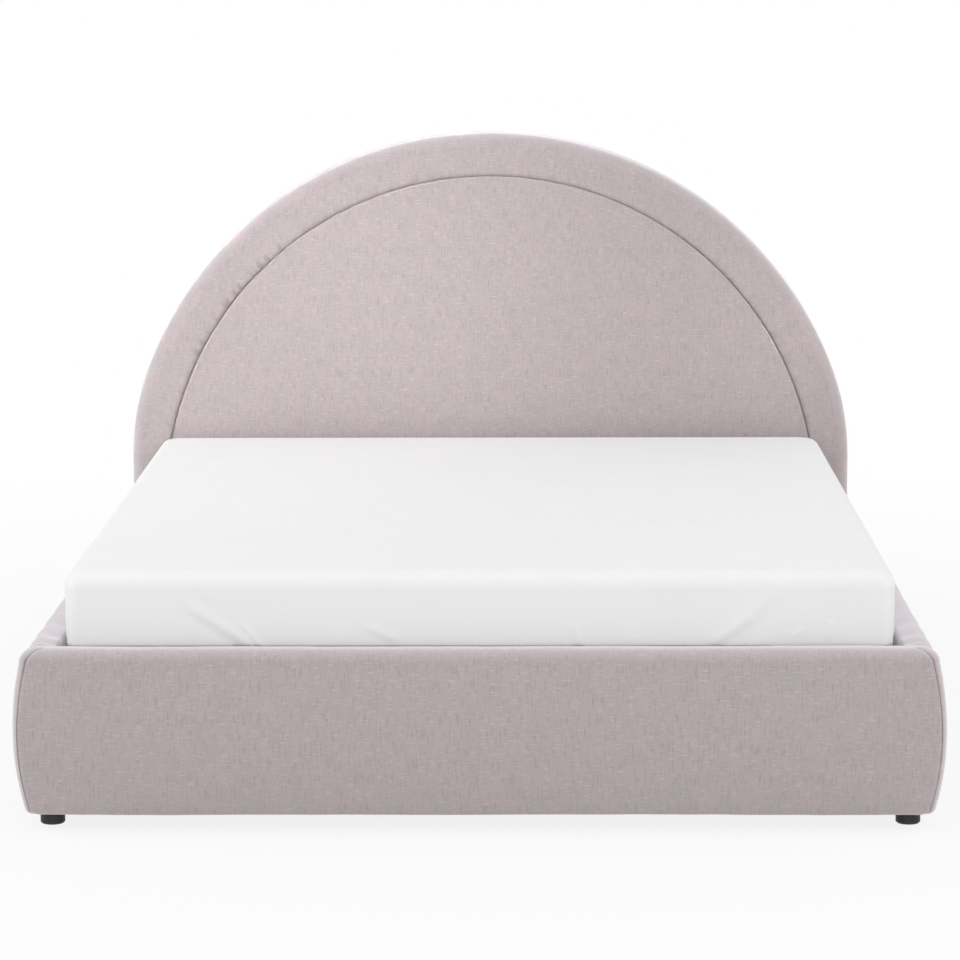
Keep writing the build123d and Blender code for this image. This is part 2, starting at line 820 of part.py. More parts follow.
def slat_rows():
    # Y of the middle of each slat, evenly spaced inside the frame.
    first = frame_foot_y + tube_width + holder_width / 2
    last = frame_head_y - tube_width - holder_width / 2
    return [first + (last - first) * index / (slat_count - 1) for index in range(slat_count)]


def make_slats():
    outer_end = frame_half_width - tube_width / 2 - holder_length / 2 + slat_grip
    inner_end = centre_holder_length / 2 - slat_grip
    middle_x = (outer_end + inner_end) / 2
    low_z = slat_end_z
    top_z = slat_end_z + slat_thickness
    with BuildSketch(Plane.XZ) as bent_section:
        with BuildLine():
            ThreePointArc((inner_end, low_z), (middle_x, low_z + slat_bow), (outer_end, low_z))
            Line((outer_end, low_z), (outer_end, top_z))
            ThreePointArc((outer_end, top_z), (middle_x, top_z + slat_bow), (inner_end, top_z))
            Line((inner_end, top_z), (inner_end, low_z))
        make_face()
    with BuildPart() as slats:
        for row_y in slat_rows():
            section = Pos(0, row_y - slat_width / 2, 0) * bent_section.sketch
            extrude(section, amount=-slat_width)
    keep_pair(slats.part, "slats")


def holder(centre_x, row_y, length, mouths):
    # A moulded holder with a closed back: each mouth is a pocket that takes one slat's end.
    low_x = centre_x - length / 2
    high_x = centre_x + length / 2
    with BuildSketch(Plane.XY.offset(frame_top_z)) as base:
        with Locations((centre_x, row_y)):
            Rectangle(length, holder_width)
        chamfer(base.vertices(), holder_edge)
    extrude(base.sketch, amount=holder_height)
    pocket_floor = slat_end_z - slat_play
    pocket_top = slat_end_z + slat_thickness + 2 * slat_play
    half_pocket = slat_width / 2 + slat_play
    for mouth in mouths:
        if mouth < 0:
            pocket_x = (low_x - cut_overrun, low_x + slat_grip + slat_play)
        else:
            pocket_x = (high_x - slat_grip - slat_play, high_x + cut_overrun)
        low = (pocket_x[0], row_y - half_pocket, pocket_floor)
        high = (pocket_x[1], row_y + half_pocket, pocket_top)
        block(low, high, Mode.SUBTRACT)


def make_slat_holders():
    side_x = frame_half_width - tube_width / 2
    with BuildPart() as side_holders:
        for row_y in slat_rows():
            holder(side_x, row_y, holder_length, (-1,))
    keep_pair(side_holders.part, "slat_holders")

    with BuildPart() as centre_holders:
        for row_y in slat_rows():
            holder(0, row_y, centre_holder_length, (-1, 1))
    keep(centre_holders.part, "slat_holders_centre")


def make_mattress():
    # The sides draw in towards the top and bottom faces, as a bordered mattress does.
    middle_y = head_face_y - head_room - mattress_length / 2
    levels = [
        (0, mattress_rim_inset),
        (mattress_rim_height, mattress_rim_lip),
        (mattress_height / 2, 0),
        (mattress_height - mattress_rim_height, mattress_rim_lip),
        (mattress_height, mattress_rim_inset),
    ]
    with BuildPart() as mattress:
        for height, inset in levels:
            with BuildSketch(Plane.XY.offset(mattress_bottom_z + height)):
                with Locations((0, middle_y)):
                    RectangleRounded(
                        mattress_width - 2 * inset,
                        mattress_length - 2 * inset,
                        mattress_corner_radius - inset,
                    )
        loft()
    keep(mattress.part, "mattress")


def make_platform_rests():
    # Steel angles on the footboard that carry the closed platform on rubber pads.
    top_z = frame_underside_z - seat_gap
    shelf_z = top_z - rest_pad_height
    pad_y = frame_foot_y + tube_width / 2
    shelf_end_y = pad_y + rest_pad_length / 2 + rest_lip
    with BuildPart() as rest_brackets:
        for side in (-1, 1):
            centre_x = side * rest_spread / 2
            with BuildSketch(side_plane(centre_x - rest_width / 2)) as angle:
                with BuildLine():
                    Polyline(
                        (foot_face_y, shelf_z),
                        (shelf_end_y, shelf_z),
                        (shelf_end_y, shelf_z - rest_thickness),
                        (foot_face_y + rest_thickness, shelf_z - rest_thickness),
                        (foot_face_y + rest_thickness, shelf_z - rest_leg),
                        (foot_face_y, shelf_z - rest_leg),
                        close=True,
                    )
                make_face()
            extrude(angle.sketch, amount=rest_width)
    keep(rest_brackets.part, "platform_rest_brackets")

    with BuildPart() as rest_pads:
        for side in (-1, 1):
            with BuildSketch(Plane.XY.offset(shelf_z)) as pad:
                with Locations((side * rest_spread / 2, pad_y)):
                    RectangleRounded(rest_pad_length, rest_pad_length, rest_pad_corner)
            extrude(pad.sketch, amount=rest_pad_height)
    keep(rest_pads.part, "platform_rest_pads")


def make_mattress_stops():
    # Bent wire hoops on the foot end of the frame, which keep the mattress from sliding down.
    rod_y = frame_foot_y - stop_rod_radius
    low_z = frame_underside_z + tube_wall
    high_z = frame_top_z + stop_height
    bend_z = high_z - stop_bend_radius
    with BuildPart() as mattress_stops:
        for side in (-1, 1):
            left_x = side * stop_spread / 2 - stop_width / 2
            right_x = left_x + stop_width
            for leg_x, bend_x, turn in (
                (left_x, left_x + stop_bend_radius, 1),
                (right_x, right_x - stop_bend_radius, -1),
            ):
                bar((leg_x, rod_y, low_z), (0, 0, 1), stop_rod_radius, bend_z - low_z)
                with BuildSketch(Plane((leg_x, rod_y, bend_z))) as section:
                    Circle(stop_rod_radius)
                bend_axis = Axis((bend_x, rod_y, bend_z), (0, turn, 0))
                revolve(section.sketch, axis=bend_axis, revolution_arc=90)
            top_start = (left_x + stop_bend_radius, rod_y, high_z)
            bar(top_start, (1, 0, 0), stop_rod_radius, stop_width - 2 * stop_bend_radius)
    keep(mattress_stops.part, "mattress_stops")


def make_pull_strap():
    # Webbing folded into a loop, with both tails riveted to the foot end of the frame.
    tail_depth = 2 * strap_thickness
    loop_depth = strap_loop_gap + tail_depth
    tail_top_z = frame_underside_z + tube_height + strap_tail_height
    loop_top_z = tail_top_z + strap_loop_height
    back_y = frame_foot_y
    rivet_z = frame_underside_z + tube_height / 2
    with BuildPart() as pull_strap:
        with BuildSketch(side_plane(-strap_width / 2)) as outline:
            with Locations((back_y - loop_depth / 2, (tail_top_z + loop_top_z) / 2)):
                SlotOverall(strap_loop_height, loop_depth, rotation=90)
            with Locations((back_y - tail_depth / 2, (frame_underside_z + tail_top_z + loop_depth) / 2)):
                Rectangle(tail_depth, tail_top_z + loop_depth - frame_underside_z)
            with Locations((back_y - loop_depth / 2, (tail_top_z + loop_top_z) / 2)):
                SlotOverall(
                    strap_loop_height - tail_depth,
                    strap_loop_gap,
                    rotation=90,
                    mode=Mode.SUBTRACT,
                )
        extrude(outline.sketch, amount=strap_width)
        for side in (-1, 1):
            start = (side * rivet_spread / 2, back_y + cut_overrun, rivet_z)
            depth = cut_overrun + tail_depth + cut_overrun
            bar(start, (0, -1, 0), rivet_radius + running_clearance, depth, Mode.SUBTRACT)
    keep(pull_strap.part, "pull_strap")

    with BuildPart() as strap_rivets:
        for side in (-1, 1):
            head = (side * rivet_spread / 2, back_y - tail_depth, rivet_z)
            bar(head, (0, -1, 0), rivet_head_radius, rivet_head_height)
            bar(head, (0, 1, 0), rivet_radius, tail_depth)
    keep(strap_rivets.part, "pull_strap_rivets")


make_side_rails()
make_footboard()
make_headboard()
make_storage_floor()
make_feet()
make_corner_brackets()
make_lift_hinges()
make_strut_studs()
make_gas_struts()
make_platform_frame()
make_slats()
make_slat_holders()
make_mattress()
make_platform_rests()
make_mattress_stops()
make_pull_strap()

# The places that the joints turn about
print("overall", 2 * (rim_half_width + bulge_depth), overall_length, crown_height)
print("pivot", pivot_y, pivot_z)
print("lower stud", lower_stud_y, lower_stud_z)
print("upper stud", upper_stud_y, upper_stud_z)
print("strut closed", strut_rest_length, "open", strut_open_length, "cylinder", cylinder_length)
print("mattress", mattress_bottom_z, mattress_bottom_z + mattress_height)
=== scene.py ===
import json
import logging
from dataclasses import dataclass
from enum import Enum
from math import atan2, ceil, cos, exp, hypot, pi, radians, sin, sqrt
from typing import Any, Callable, Iterable

import bmesh
import bpy
from bmesh.types import BMEdge, BMesh, BMVert
from bpy.types import Material, Node, NodeSocket, NodeTree, Object
from mathutils import Matrix, Vector, noise


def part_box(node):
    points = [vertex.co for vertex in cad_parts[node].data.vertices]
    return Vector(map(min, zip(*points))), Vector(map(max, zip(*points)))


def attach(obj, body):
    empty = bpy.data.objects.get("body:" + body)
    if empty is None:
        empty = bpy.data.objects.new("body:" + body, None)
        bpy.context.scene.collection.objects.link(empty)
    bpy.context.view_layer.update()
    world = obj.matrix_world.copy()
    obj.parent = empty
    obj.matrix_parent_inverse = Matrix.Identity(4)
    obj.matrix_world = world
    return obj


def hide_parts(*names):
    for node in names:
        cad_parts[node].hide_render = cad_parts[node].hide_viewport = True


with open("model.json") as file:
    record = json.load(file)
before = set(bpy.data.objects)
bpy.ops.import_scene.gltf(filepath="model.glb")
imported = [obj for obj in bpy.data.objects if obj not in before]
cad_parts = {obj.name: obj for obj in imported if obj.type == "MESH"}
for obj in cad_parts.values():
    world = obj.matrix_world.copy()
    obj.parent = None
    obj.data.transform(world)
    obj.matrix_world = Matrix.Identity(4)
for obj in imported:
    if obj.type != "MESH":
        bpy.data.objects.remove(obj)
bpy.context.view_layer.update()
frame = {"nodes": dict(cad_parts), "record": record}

# An upholstered storage bed: arched headboard with a border band, bulging rails and footboard, a
# mattress in a white fitted sheet on a slatted platform that lifts on two gas struts.
# Metres. X runs across the bed, Y towards the headboard, Z up, with the origin on the floor.

log = logging.getLogger("storage_bed")

Point = tuple[float, float, float]
OnCloth = tuple[float, float]

MM = 0.001
WELD = 0.02 * MM
SHARP = radians(50)
WAVE_PERIOD = pi / 10  # metres from band to band in a wave texture whose scale is one
USUAL_SWING = 0.3  # most of the smooth noise stays within this of zero
CLOTH_MAP = "cloth"
# Vertex attribute that holds painted shade for the seams, their pleats and the border's turn to the back.
PAINTED_SHADE_MAP = "painted_seam_shade"


class Slot(Enum):
    """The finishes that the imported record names."""

    UPHOLSTERY = "upholstery"
    BACKING = "backing_cloth"
    BOARD = "board"
    HARDBOARD = "hardboard"
    SOFTWOOD = "softwood"
    BLACK_PLASTIC = "black_plastic"
    ZINC = "zinc_steel"
    COATED = "coated_steel"
    STRUT_PAINT = "strut_paint"
    CHROME = "chromed_rod"
    BIRCH = "birch"
    MATTRESS = "mattress_cloth"
    WEBBING = "webbing"
    RUBBER = "rubber_pad"


class Side(Enum):
    """Left and right, as seen from the foot of the bed."""

    LEFT = -1
    RIGHT = 1

    @property
    def word(self) -> str:
        """The side's name inside a piece's name."""
        return self.name.lower()


# Materials


def linear(colour: str) -> tuple[float, float, float, float]:
    """Turns a colour to the linear values that shaders take.

    Args:
        colour: sRGB hex, such as "#B9ADAC".

    Returns:
        Red, green, blue and an alpha of one.
    """
    shares = [int(colour[i : i + 2], 16) / 255 for i in (1, 3, 5)]
    red, green, blue = (s / 12.92 if s <= 0.04045 else ((s + 0.055) / 1.055) ** 2.4 for s in shares)
    return red, green, blue, 1.0


def add_node(tree: NodeTree, kind: str, settings: dict[Any, Any] | None = None) -> Node:
    """Adds a node with its settings and links.

    Args:
        tree: The node tree.
        kind: The node's type without its "ShaderNode" prefix.
        settings: Values by attribute name, or by the name or number of an input. An output socket
            is linked to that input.

    Returns:
        The new node.
    """
    node = tree.nodes.new("ShaderNode" + kind)
    for key, value in (settings or {}).items():
        if isinstance(value, NodeSocket):
            tree.links.new(value, node.inputs[key])
        elif isinstance(key, str) and key not in node.inputs:
            setattr(node, key, value)
        else:
            node.inputs[key].default_value = value
    return node


def new_material(name: str) -> tuple[Material, NodeTree]:
    """Makes an empty node material.

    Args:
        name: The material's name.

    Returns:
        The material and its node tree.
    """
    material = bpy.data.materials.new(name)
    material.use_nodes = True
    material.node_tree.nodes.clear()
    return material, material.node_tree


def close_surface(tree: NodeTree, settings: dict[str, Any]) -> None:
    """Ends a material with its surface shader and output.

    Args:
        tree: The node tree.
        settings: The shader's own values and links.
    """
    surface = add_node(tree, "BsdfPrincipled", settings)
    add_node(tree, "OutputMaterial", {"Surface": surface.outputs["BSDF"]})


def place_pattern(tree: NodeTree, size: Point) -> NodeSocket:
    """Lays a pattern on a piece at its real size.

    Args:
        tree: The node tree.
        size: How long the pattern's cell is along X, Y and Z in mm.

    Returns:
        Coordinates that grow by one over each cell.
    """
    place = add_node(tree, "TexCoord").outputs["Object"]
    scale = tuple(1 / (length * MM) for length in size)
    return add_node(tree, "Mapping", {"Scale": scale, "Vector": place}).outputs["Vector"]


def weave(tree: NodeTree, cloth: NodeSocket, pitch: float, wander: float, detail: float) -> NodeSocket:
    """Crosses two bands of thread.

    Args:
        tree: The node tree.
        cloth: The cloth's own coordinates.
        pitch: Distance between threads in mm.
        wander: How far the threads leave a straight line.
        detail: How fine that wander is.

    Returns:
        The height of the weave.
    """
    band = {"Scale": WAVE_PERIOD / (pitch * MM), "Distortion": wander, "Detail": detail, "Vector": cloth}
    warp = add_node(tree, "TexWave", {"bands_direction": "X", **band}).outputs["Fac"]
    weft = add_node(tree, "TexWave", {"bands_direction": "Y", **band}).outputs["Fac"]
    return add_node(tree, "Math", {"operation": "MAXIMUM", 0: warp, 1: weft}).outputs[0]


@dataclass(frozen=True)
class Chenille:
    """Piece-dyed chenille with linen slubs: matt and soft, with a nap that is pale at a flat angle."""

    name: str = "woven_chenille_taupe"
    ground: str = "#ADA0A1"
    faded_ground: str = "#A69E9D"
    shadow_thread: str = "#998E8F"
    bright_thread: str = "#BDB3B4"
    # Painted shade: the colour laid on where the seam attribute marks seam grooves, the pleats beside them
    # and the border's turn to the back.
    seam_depth: str = "#6A5652"
    nap: str = "#FAF5FC"
    nap_roughness: float = 0.6
    warp_slub: tuple[float, float] = (3.8, 30.0)  # mm across and up
    weft_slub: tuple[float, float] = (20.0, 3.6)
    thread_pitch: float = 2.2  # mm, about twice the real one, so that it shows
    mottle: float = 46.0  # mm from patch to patch of the dye
    relief: float = 0.16
    relief_depth: float = 0.8 * MM

    def build(self) -> Material:
        """Builds the cloth from its dye, slubs along both threads, the weave and the painted shade of the
        seams.
        """
        material, tree = new_material(self.name)
        cloth = add_node(tree, "UVMap", {"uv_map": CLOTH_MAP}).outputs["UV"]
        seam = add_node(tree, "Attribute", {"attribute_name": PAINTED_SHADE_MAP}).outputs["Fac"]
        warp, weft = (self._slubs(tree, cloth, size) for size in (self.warp_slub, self.weft_slub))
        dye = {"noise_dimensions": "2D", "Scale": 1 / (self.mottle * MM), "Detail": 5.0, "Roughness": 0.66}
        patches = add_node(tree, "TexNoise", {**dye, "Vector": cloth}).outputs["Fac"]
        tint: Any = linear(self.ground)
        for over, value, start, end, most in (
            (self.faded_ground, patches, 0.35, 0.65, 1.0),
            (self.shadow_thread, warp, 0.53, 0.76, 0.9),
            (self.bright_thread, weft, 0.57, 0.80, 0.9),
            # Painted shade in the seams, their pleats and at the border's turn to the back.
            (self.seam_depth, seam, 0.0, 1.0, 1.0),
        ):
            reach = {"From Min": start, "From Max": end, "To Max": most, "Value": value}
            share = add_node(tree, "MapRange", reach).outputs["Result"]
            layer = {"data_type": "RGBA", 0: share, 6: tint, 7: linear(over)}
            tint = add_node(tree, "Mix", layer).outputs[2]
        threads = weave(tree, cloth, self.thread_pitch, 1.5, 1.0)
        relief = add_node(tree, "Math", {"operation": "MULTIPLY_ADD", 0: threads, 1: 0.35, 2: warp})
        height = {"Strength": self.relief, "Distance": self.relief_depth, "Height": relief.outputs[0]}
        close_surface(
            tree,
            {
                "Base Color": tint,
                "Normal": add_node(tree, "Bump", height).outputs["Normal"],
                "Roughness": 0.92,
                "Specular IOR Level": 0.22,
                "Sheen Weight": 1.0,
                "Sheen Roughness": self.nap_roughness,
                "Sheen Tint": linear(self.nap),
            },
        )
        return material

    def _slubs(self, tree: NodeTree, cloth: NodeSocket, size: tuple[float, float]) -> NodeSocket:
        """Stretches noise into thick places of the thread.

        Args:
            tree: The node tree.
            cloth: The cloth's own coordinates.
            size: Width and height of a slub in mm.

        Returns:
            The thickness of the thread.
        """
        scale = (1 / (size[0] * MM), 1 / (size[1] * MM), 1.0)
        placed = add_node(tree, "Mapping", {"Scale": scale, "Vector": cloth}).outputs["Vector"]
        slub = {"noise_dimensions": "2D", "Scale": 1.0, "Detail": 2.0, "Roughness": 0.6, "Vector": placed}
        return add_node(tree, "TexNoise", slub).outputs["Fac"]


@dataclass(frozen=True)
class Percale:
    """Plain white bedding cloth: matt, with a faint thread. The sheet's is bleached cotton percale."""

    name: str = "bleached_cotton_percale"
    colour: str = "#EAEAEA"
    shade: str = "#E7E7E7"
    thread_pitch: float = 1.6  # mm, about five times the real one, so that it shows
    relief: float = 0.12
    mottle: float = 1000 / 9  # mm from patch to patch

    def build(self) -> Material:
        """Builds the cloth from two near whites and the weave."""
        material, tree = new_material(self.name)
        cloth = add_node(tree, "UVMap", {"uv_map": CLOTH_MAP}).outputs["UV"]
        patches = {"noise_dimensions": "2D", "Scale": 1 / (self.mottle * MM), "Detail": 3.0, "Vector": cloth}
        uneven = add_node(tree, "TexNoise", patches).outputs["Fac"]
        tint = {"data_type": "RGBA", 0: uneven, 6: linear(self.colour), 7: linear(self.shade)}
        threads = weave(tree, cloth, self.thread_pitch, 0.8, 2.0)
        height = {"Strength": self.relief, "Distance": 0.2 * MM, "Height": threads}
        close_surface(
            tree,
            {
                "Base Color": add_node(tree, "Mix", tint).outputs[2],
                "Normal": add_node(tree, "Bump", height).outputs["Normal"],
                "Roughness": 0.85,
                "Specular IOR Level": 0.25,
                "Sheen Weight": 0.08,
                "Sheen Roughness": 0.4,
            },
        )
        return material


@dataclass(frozen=True)
class Grain:
    """A surface whose colour runs in streaks or flakes, as wood, board and pressed fibre have."""

    name: str
    dark: str
    light: str
    grain: Point  # size of a streak or flake along X, Y and Z in mm
    roughness: float
    relief: float = 0.15
    coat: float = 0.0
    flakes: bool = False

    def build(self) -> Material:
        """Builds streaks from stretched noise, or flakes from cells."""
        material, tree = new_material(self.name)
        placed = place_pattern(tree, self.grain)
        if self.flakes:
            cells = add_node(tree, "TexVoronoi", {"Scale": 1.0, "Randomness": 1.0, "Vector": placed})
            streak = add_node(tree, "SeparateColor", {"Color": cells.outputs["Color"]}).outputs[0]
        else:
            growth = {"Scale": 1.0, "Detail": 5.0, "Roughness": 0.62, "Distortion": 0.35, "Vector": placed}
            streak = add_node(tree, "TexNoise", growth).outputs["Fac"]
        ramp = add_node(tree, "ValToRGB", {"Fac": streak})
        for stop, place, colour in zip(ramp.color_ramp.elements, (0.3, 0.7), (self.dark, self.light)):
            stop.position = place
            stop.color = linear(colour)
        bump = add_node(tree, "Bump", {"Strength": self.relief, "Distance": 0.3 * MM, "Height": streak})
        close_surface(
            tree,
            {
                "Base Color": ramp.outputs["Color"],
                "Normal": bump.outputs["Normal"],
                "Roughness": self.roughness,
                "Coat Weight": self.coat,
                "Coat Roughness": 0.25,
            },
        )
        return material


@dataclass(frozen=True)
class Metal:
    """A metal or a painted metal, with the fine unevenness of how its surface was made."""

    name: str
    colour: str
    metallic: float
    roughness: tuple[float, float]
    texture: Point  # size of the unevenness along X, Y and Z in mm
    relief: float = 0.1
    coat: float = 0.0

    def build(self) -> Material:
        """Builds a plain colour whose roughness and relief vary."""
        material, tree = new_material(self.name)
        placed = place_pattern(tree, self.texture)
        uneven = add_node(tree, "TexNoise", {"Scale": 1.0, "Detail": 3.0, "Vector": placed}).outputs["Fac"]
        bright, dull = self.roughness
        gloss = add_node(tree, "MapRange", {"To Min": bright, "To Max": dull, "Value": uneven})
        bump = add_node(tree, "Bump", {"Strength": self.relief, "Distance": 0.1 * MM, "Height": uneven})
        close_surface(
            tree,
            {
                "Base Color": linear(self.colour),
                "Normal": bump.outputs["Normal"],
                "Roughness": gloss.outputs["Result"],
                "Metallic": self.metallic,
                "Coat Weight": self.coat,
                "Coat Roughness": 0.1,
            },
        )
        return material


@dataclass(frozen=True)
class PressedFibre:
    """Dark sheet goods and mouldings, such as spunbonded cloth, webbing and rubber: a small even relief."""

    name: str
    colour: str
    pale: str
    cell: Point  # size of a dot, rib or grain along X, Y and Z in mm, about twice the real one, to show
    roughness: float
    relief: float = 0.4
    sheen: float = 0.0

    def build(self) -> Material:
        """Builds the bonded dots or ribs and the fibres between them."""
        material, tree = new_material(self.name)
        placed = place_pattern(tree, self.cell)
        dots = add_node(tree, "TexVoronoi", {"Scale": 1.0, "Randomness": 0.25, "Vector": placed})
        fibres = add_node(tree, "TexNoise", {"Scale": 0.6, "Detail": 6.0, "Vector": placed}).outputs["Fac"]
        tint = {"data_type": "RGBA", 0: fibres, 6: linear(self.colour), 7: linear(self.pale)}
        height = {"Strength": self.relief, "Distance": 0.3 * MM, "Height": dots.outputs["Distance"]}
        close_surface(
            tree,
            {
                "Base Color": add_node(tree, "Mix", tint).outputs[2],
                "Normal": add_node(tree, "Bump", height).outputs["Normal"],
                "Roughness": self.roughness,
                "Specular IOR Level": 0.3,
                "Sheen Weight": self.sheen,
            },
        )
        return material


# Knitted ticking: off-white and matt, with a relief that is coarser than the sheet's.
TICKING = Percale("knitted_polyester_ticking", "#E0DDD6", "#D3CFC6", 3.2, 0.3)

FINISHES = {
    # Woven cloths: no gloss, a soft edge to the light, and threads that show near by.
    Slot.UPHOLSTERY: Chenille(),
    Slot.MATTRESS: Percale(),
    # Spunbonded: dead matt black with bonded dots. Woven tape: ribs along its run, with a faint sheen.
    Slot.BACKING: PressedFibre("spunbonded_dust_cloth", "#1F1F21", "#2E2E31", (2.6, 2.6, 2.6), 0.95),
    Slot.WEBBING: PressedFibre("woven_polyester_tape", "#232325", "#39393C", (1.4, 4.0, 2.0), 0.8, 0.6, 0.2),
    # Moulded: rubber is dull, and polypropylene has a fine grain with a low gloss.
    Slot.RUBBER: PressedFibre("moulded_rubber", "#232323", "#2B2B2B", (1.5, 1.5, 1.5), 0.75, 0.15),
    Slot.BLACK_PLASTIC: PressedFibre(
        "moulded_polypropylene", "#2B2A29", "#343332", (0.9, 0.9, 0.9), 0.5, 0.2
    ),
    # Pressed boards: flakes in several browns, rough when cut and smoother when hot pressed.
    Slot.BOARD: Grain("particle_board", "#A88C66", "#CDB58F", (4.0, 4.0, 3.0), 0.8, 0.3, 0.0, True),
    Slot.HARDBOARD: Grain("pressed_hardboard", "#7A5A3E", "#8C6B4C", (3.0, 3.0, 3.0), 0.6, 0.1),
    # Woods: planed pine has long warm streaks, and the birch slats show plies under a thin film.
    Slot.SOFTWOOD: Grain("planed_pine", "#C49A65", "#DDBB8A", (9.0, 240.0, 14.0), 0.6),
    Slot.BIRCH: Grain("laminated_birch", "#CBA87A", "#E2C79F", (260.0, 7.0, 1.6), 0.42, 0.08, 0.3),
    # Steels: zinc is bluish and cloudy, powder coat an orange peel, enamel wet and chrome a mirror.
    Slot.ZINC: Metal("zinc_plated_steel", "#C3C6C8", 1.0, (0.24, 0.42), (6.0, 6.0, 6.0)),
    Slot.COATED: Metal("powder_coated_steel", "#2A2A2C", 0.0, (0.45, 0.6), (1.6, 1.6, 1.6), 0.35),
    Slot.STRUT_PAINT: Metal(
        "stoved_enamel_black", "#18181A", 0.0, (0.2, 0.28), (3.0, 3.0, 3.0), 0.05, 0.6
    ),
    Slot.CHROME: Metal("hard_chromed_steel", "#D8DADC", 1.0, (0.06, 0.12), (2.0, 2.0, 2.0), 0.02),
}


# Shared modelling steps


def unevenness(place: Vector, wavelength: float, seed: float) -> float:
    """Smooth random height.

    Args:
        place: Where on the piece.
        wavelength: Distance between two swells, in metres.
        seed: Shifts the pattern, so that pieces differ.

    Returns:
        A height between about -1 and 1.
    """
    return noise.noise(place / wavelength + Vector((seed, 2.7 * seed, 1.3 * seed)))


def ease(value: float) -> float:
    """Goes smoothly from 0 to 1 as the value does, and stays there beyond both."""
    clipped = min(1.0, max(0.0, value))
    return clipped * clipped * (3 - 2 * clipped)


def finish_piece(bm: BMesh, name: str, material: Material, slot: Slot, body: str = "root") -> Object:
    """Turns a bmesh into a piece that rides on a body.

    Args:
        bm: The mesh, which is freed.
        name: The piece's name.
        material: Its material.
        slot: The record's slot of its finish. Not used.
        body: The body that carries it.

    Returns:
        The new object.
    """
    bmesh.ops.remove_doubles(bm, verts=bm.verts, dist=WELD)
    bmesh.ops.recalc_face_normals(bm, faces=bm.faces)
    mesh = bpy.data.meshes.new(name)
    bm.to_mesh(mesh)
    bm.free()
    mesh.materials.append(material)
    mesh.shade_smooth()
    mesh.set_sharp_from_angle(angle=SHARP)
    piece = bpy.data.objects.new(name, mesh)
    bpy.context.scene.collection.objects.link(piece)
    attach(piece, body)
    log.info("%s: %d faces on %s", name, len(mesh.polygons), body)
    return piece


def lay_cloth(bm: BMesh, place: Callable[[Vector], OnCloth]) -> None:
    """Gives the piece its cloth coordinates, in metres.

    Args:
        bm: The mesh, before its folds are put in.
        place: Gives a point's place on the cloth.
    """
    layer = bm.loops.layers.uv.new(CLOTH_MAP)
    for face in bm.faces:
        for loop in face.loops:
            loop[layer].uv = place(loop.vert.co)


def paint_seam_shade(bm: BMesh, shade: Callable[[Vector], float]) -> None:
    """Stores each point's share of painted shade in and beside a seam, from 0 to 1.

    Args:
        bm: The mesh.
        shade: Gives a point's share of painted shade.
    """
    layer = bm.verts.layers.float.new(PAINTED_SHADE_MAP)
    for vert in bm.verts:
        vert[layer] = shade(vert.co)


def swell(bm: BMesh, height: Callable[[Vector, Vector], float]) -> None:
    """Moves every point along its normal.

    Args:
        bm: The mesh.
        height: Gives the distance for a point and its normal.
    """
    bmesh.ops.remove_doubles(bm, verts=bm.verts, dist=WELD)
    bmesh.ops.recalc_face_normals(bm, faces=bm.faces)
    bm.normal_update()
    moves = [(vert, vert.normal * height(vert.co, vert.normal)) for vert in bm.verts]
    for vert, move in moves:
        vert.co += move


def draw_outline(
    bm: BMesh, points: list[Point], closed: bool, rounds: list[tuple[int, int, float, int]], longest: float
) -> None:
    """Draws a run of edges with rounded corners.

    Args:
        bm: The mesh that it goes into.
        points: The corners in order.
        closed: Whether the last corner joins the first.
        rounds: The first corner to round, the one after the last, the radius and the edges in a round.
        longest: The greatest length of an edge, past which it is divided.
    """
    corners = [bm.verts.new(point) for point in points]
    for start, end in zip(corners, corners[1:] + corners[:1] if closed else corners[1:]):
        bm.edges.new((start, end))
    for first, after, radius, segments in rounds:
        geom = [corner for corner in corners[first:after] if corner.is_valid]
        bmesh.ops.bevel(
            bm, geom=geom, offset=radius, segments=segments, profile=0.5, affect="VERTICES", material=-1
        )
    for edge in list(bm.edges):
        cuts = ceil(edge.calc_length() / longest) - 1
        if cuts > 0:
            bmesh.ops.subdivide_edges(bm, edges=[edge], cuts=cuts)


def draw_out(bm: BMesh, run: Iterable[Any], step: Vector, count: int) -> list[BMEdge]:
    """Draws a run of edges out into a wall, in equal steps.

    Args:
        bm: The mesh.
        run: What holds the run's edges.
        step: Where each step goes, from the one before.
        count: How many steps there are.

    Returns:
        The edges of the last step.
    """
    edges = [item for item in run if isinstance(item, BMEdge) and item.is_valid]
    for _ in range(count):
        made = bmesh.ops.extrude_edge_only(bm, edges=edges)["geom"]
        verts = {item for item in made if isinstance(item, BMVert)}
        edges = [item for item in made if isinstance(item, BMEdge) and verts.issuperset(item.verts)]
        bmesh.ops.translate(bm, verts=list(verts), vec=step)
    return edges


def close_at_ends(share: float) -> float:
    """Spaces rows closely at both ends of a run."""
    return (1 - cos(pi * share)) / 2


def close_at_start(share: float) -> float:
    """Spaces rows closely at the start of a run."""
    return share**1.5


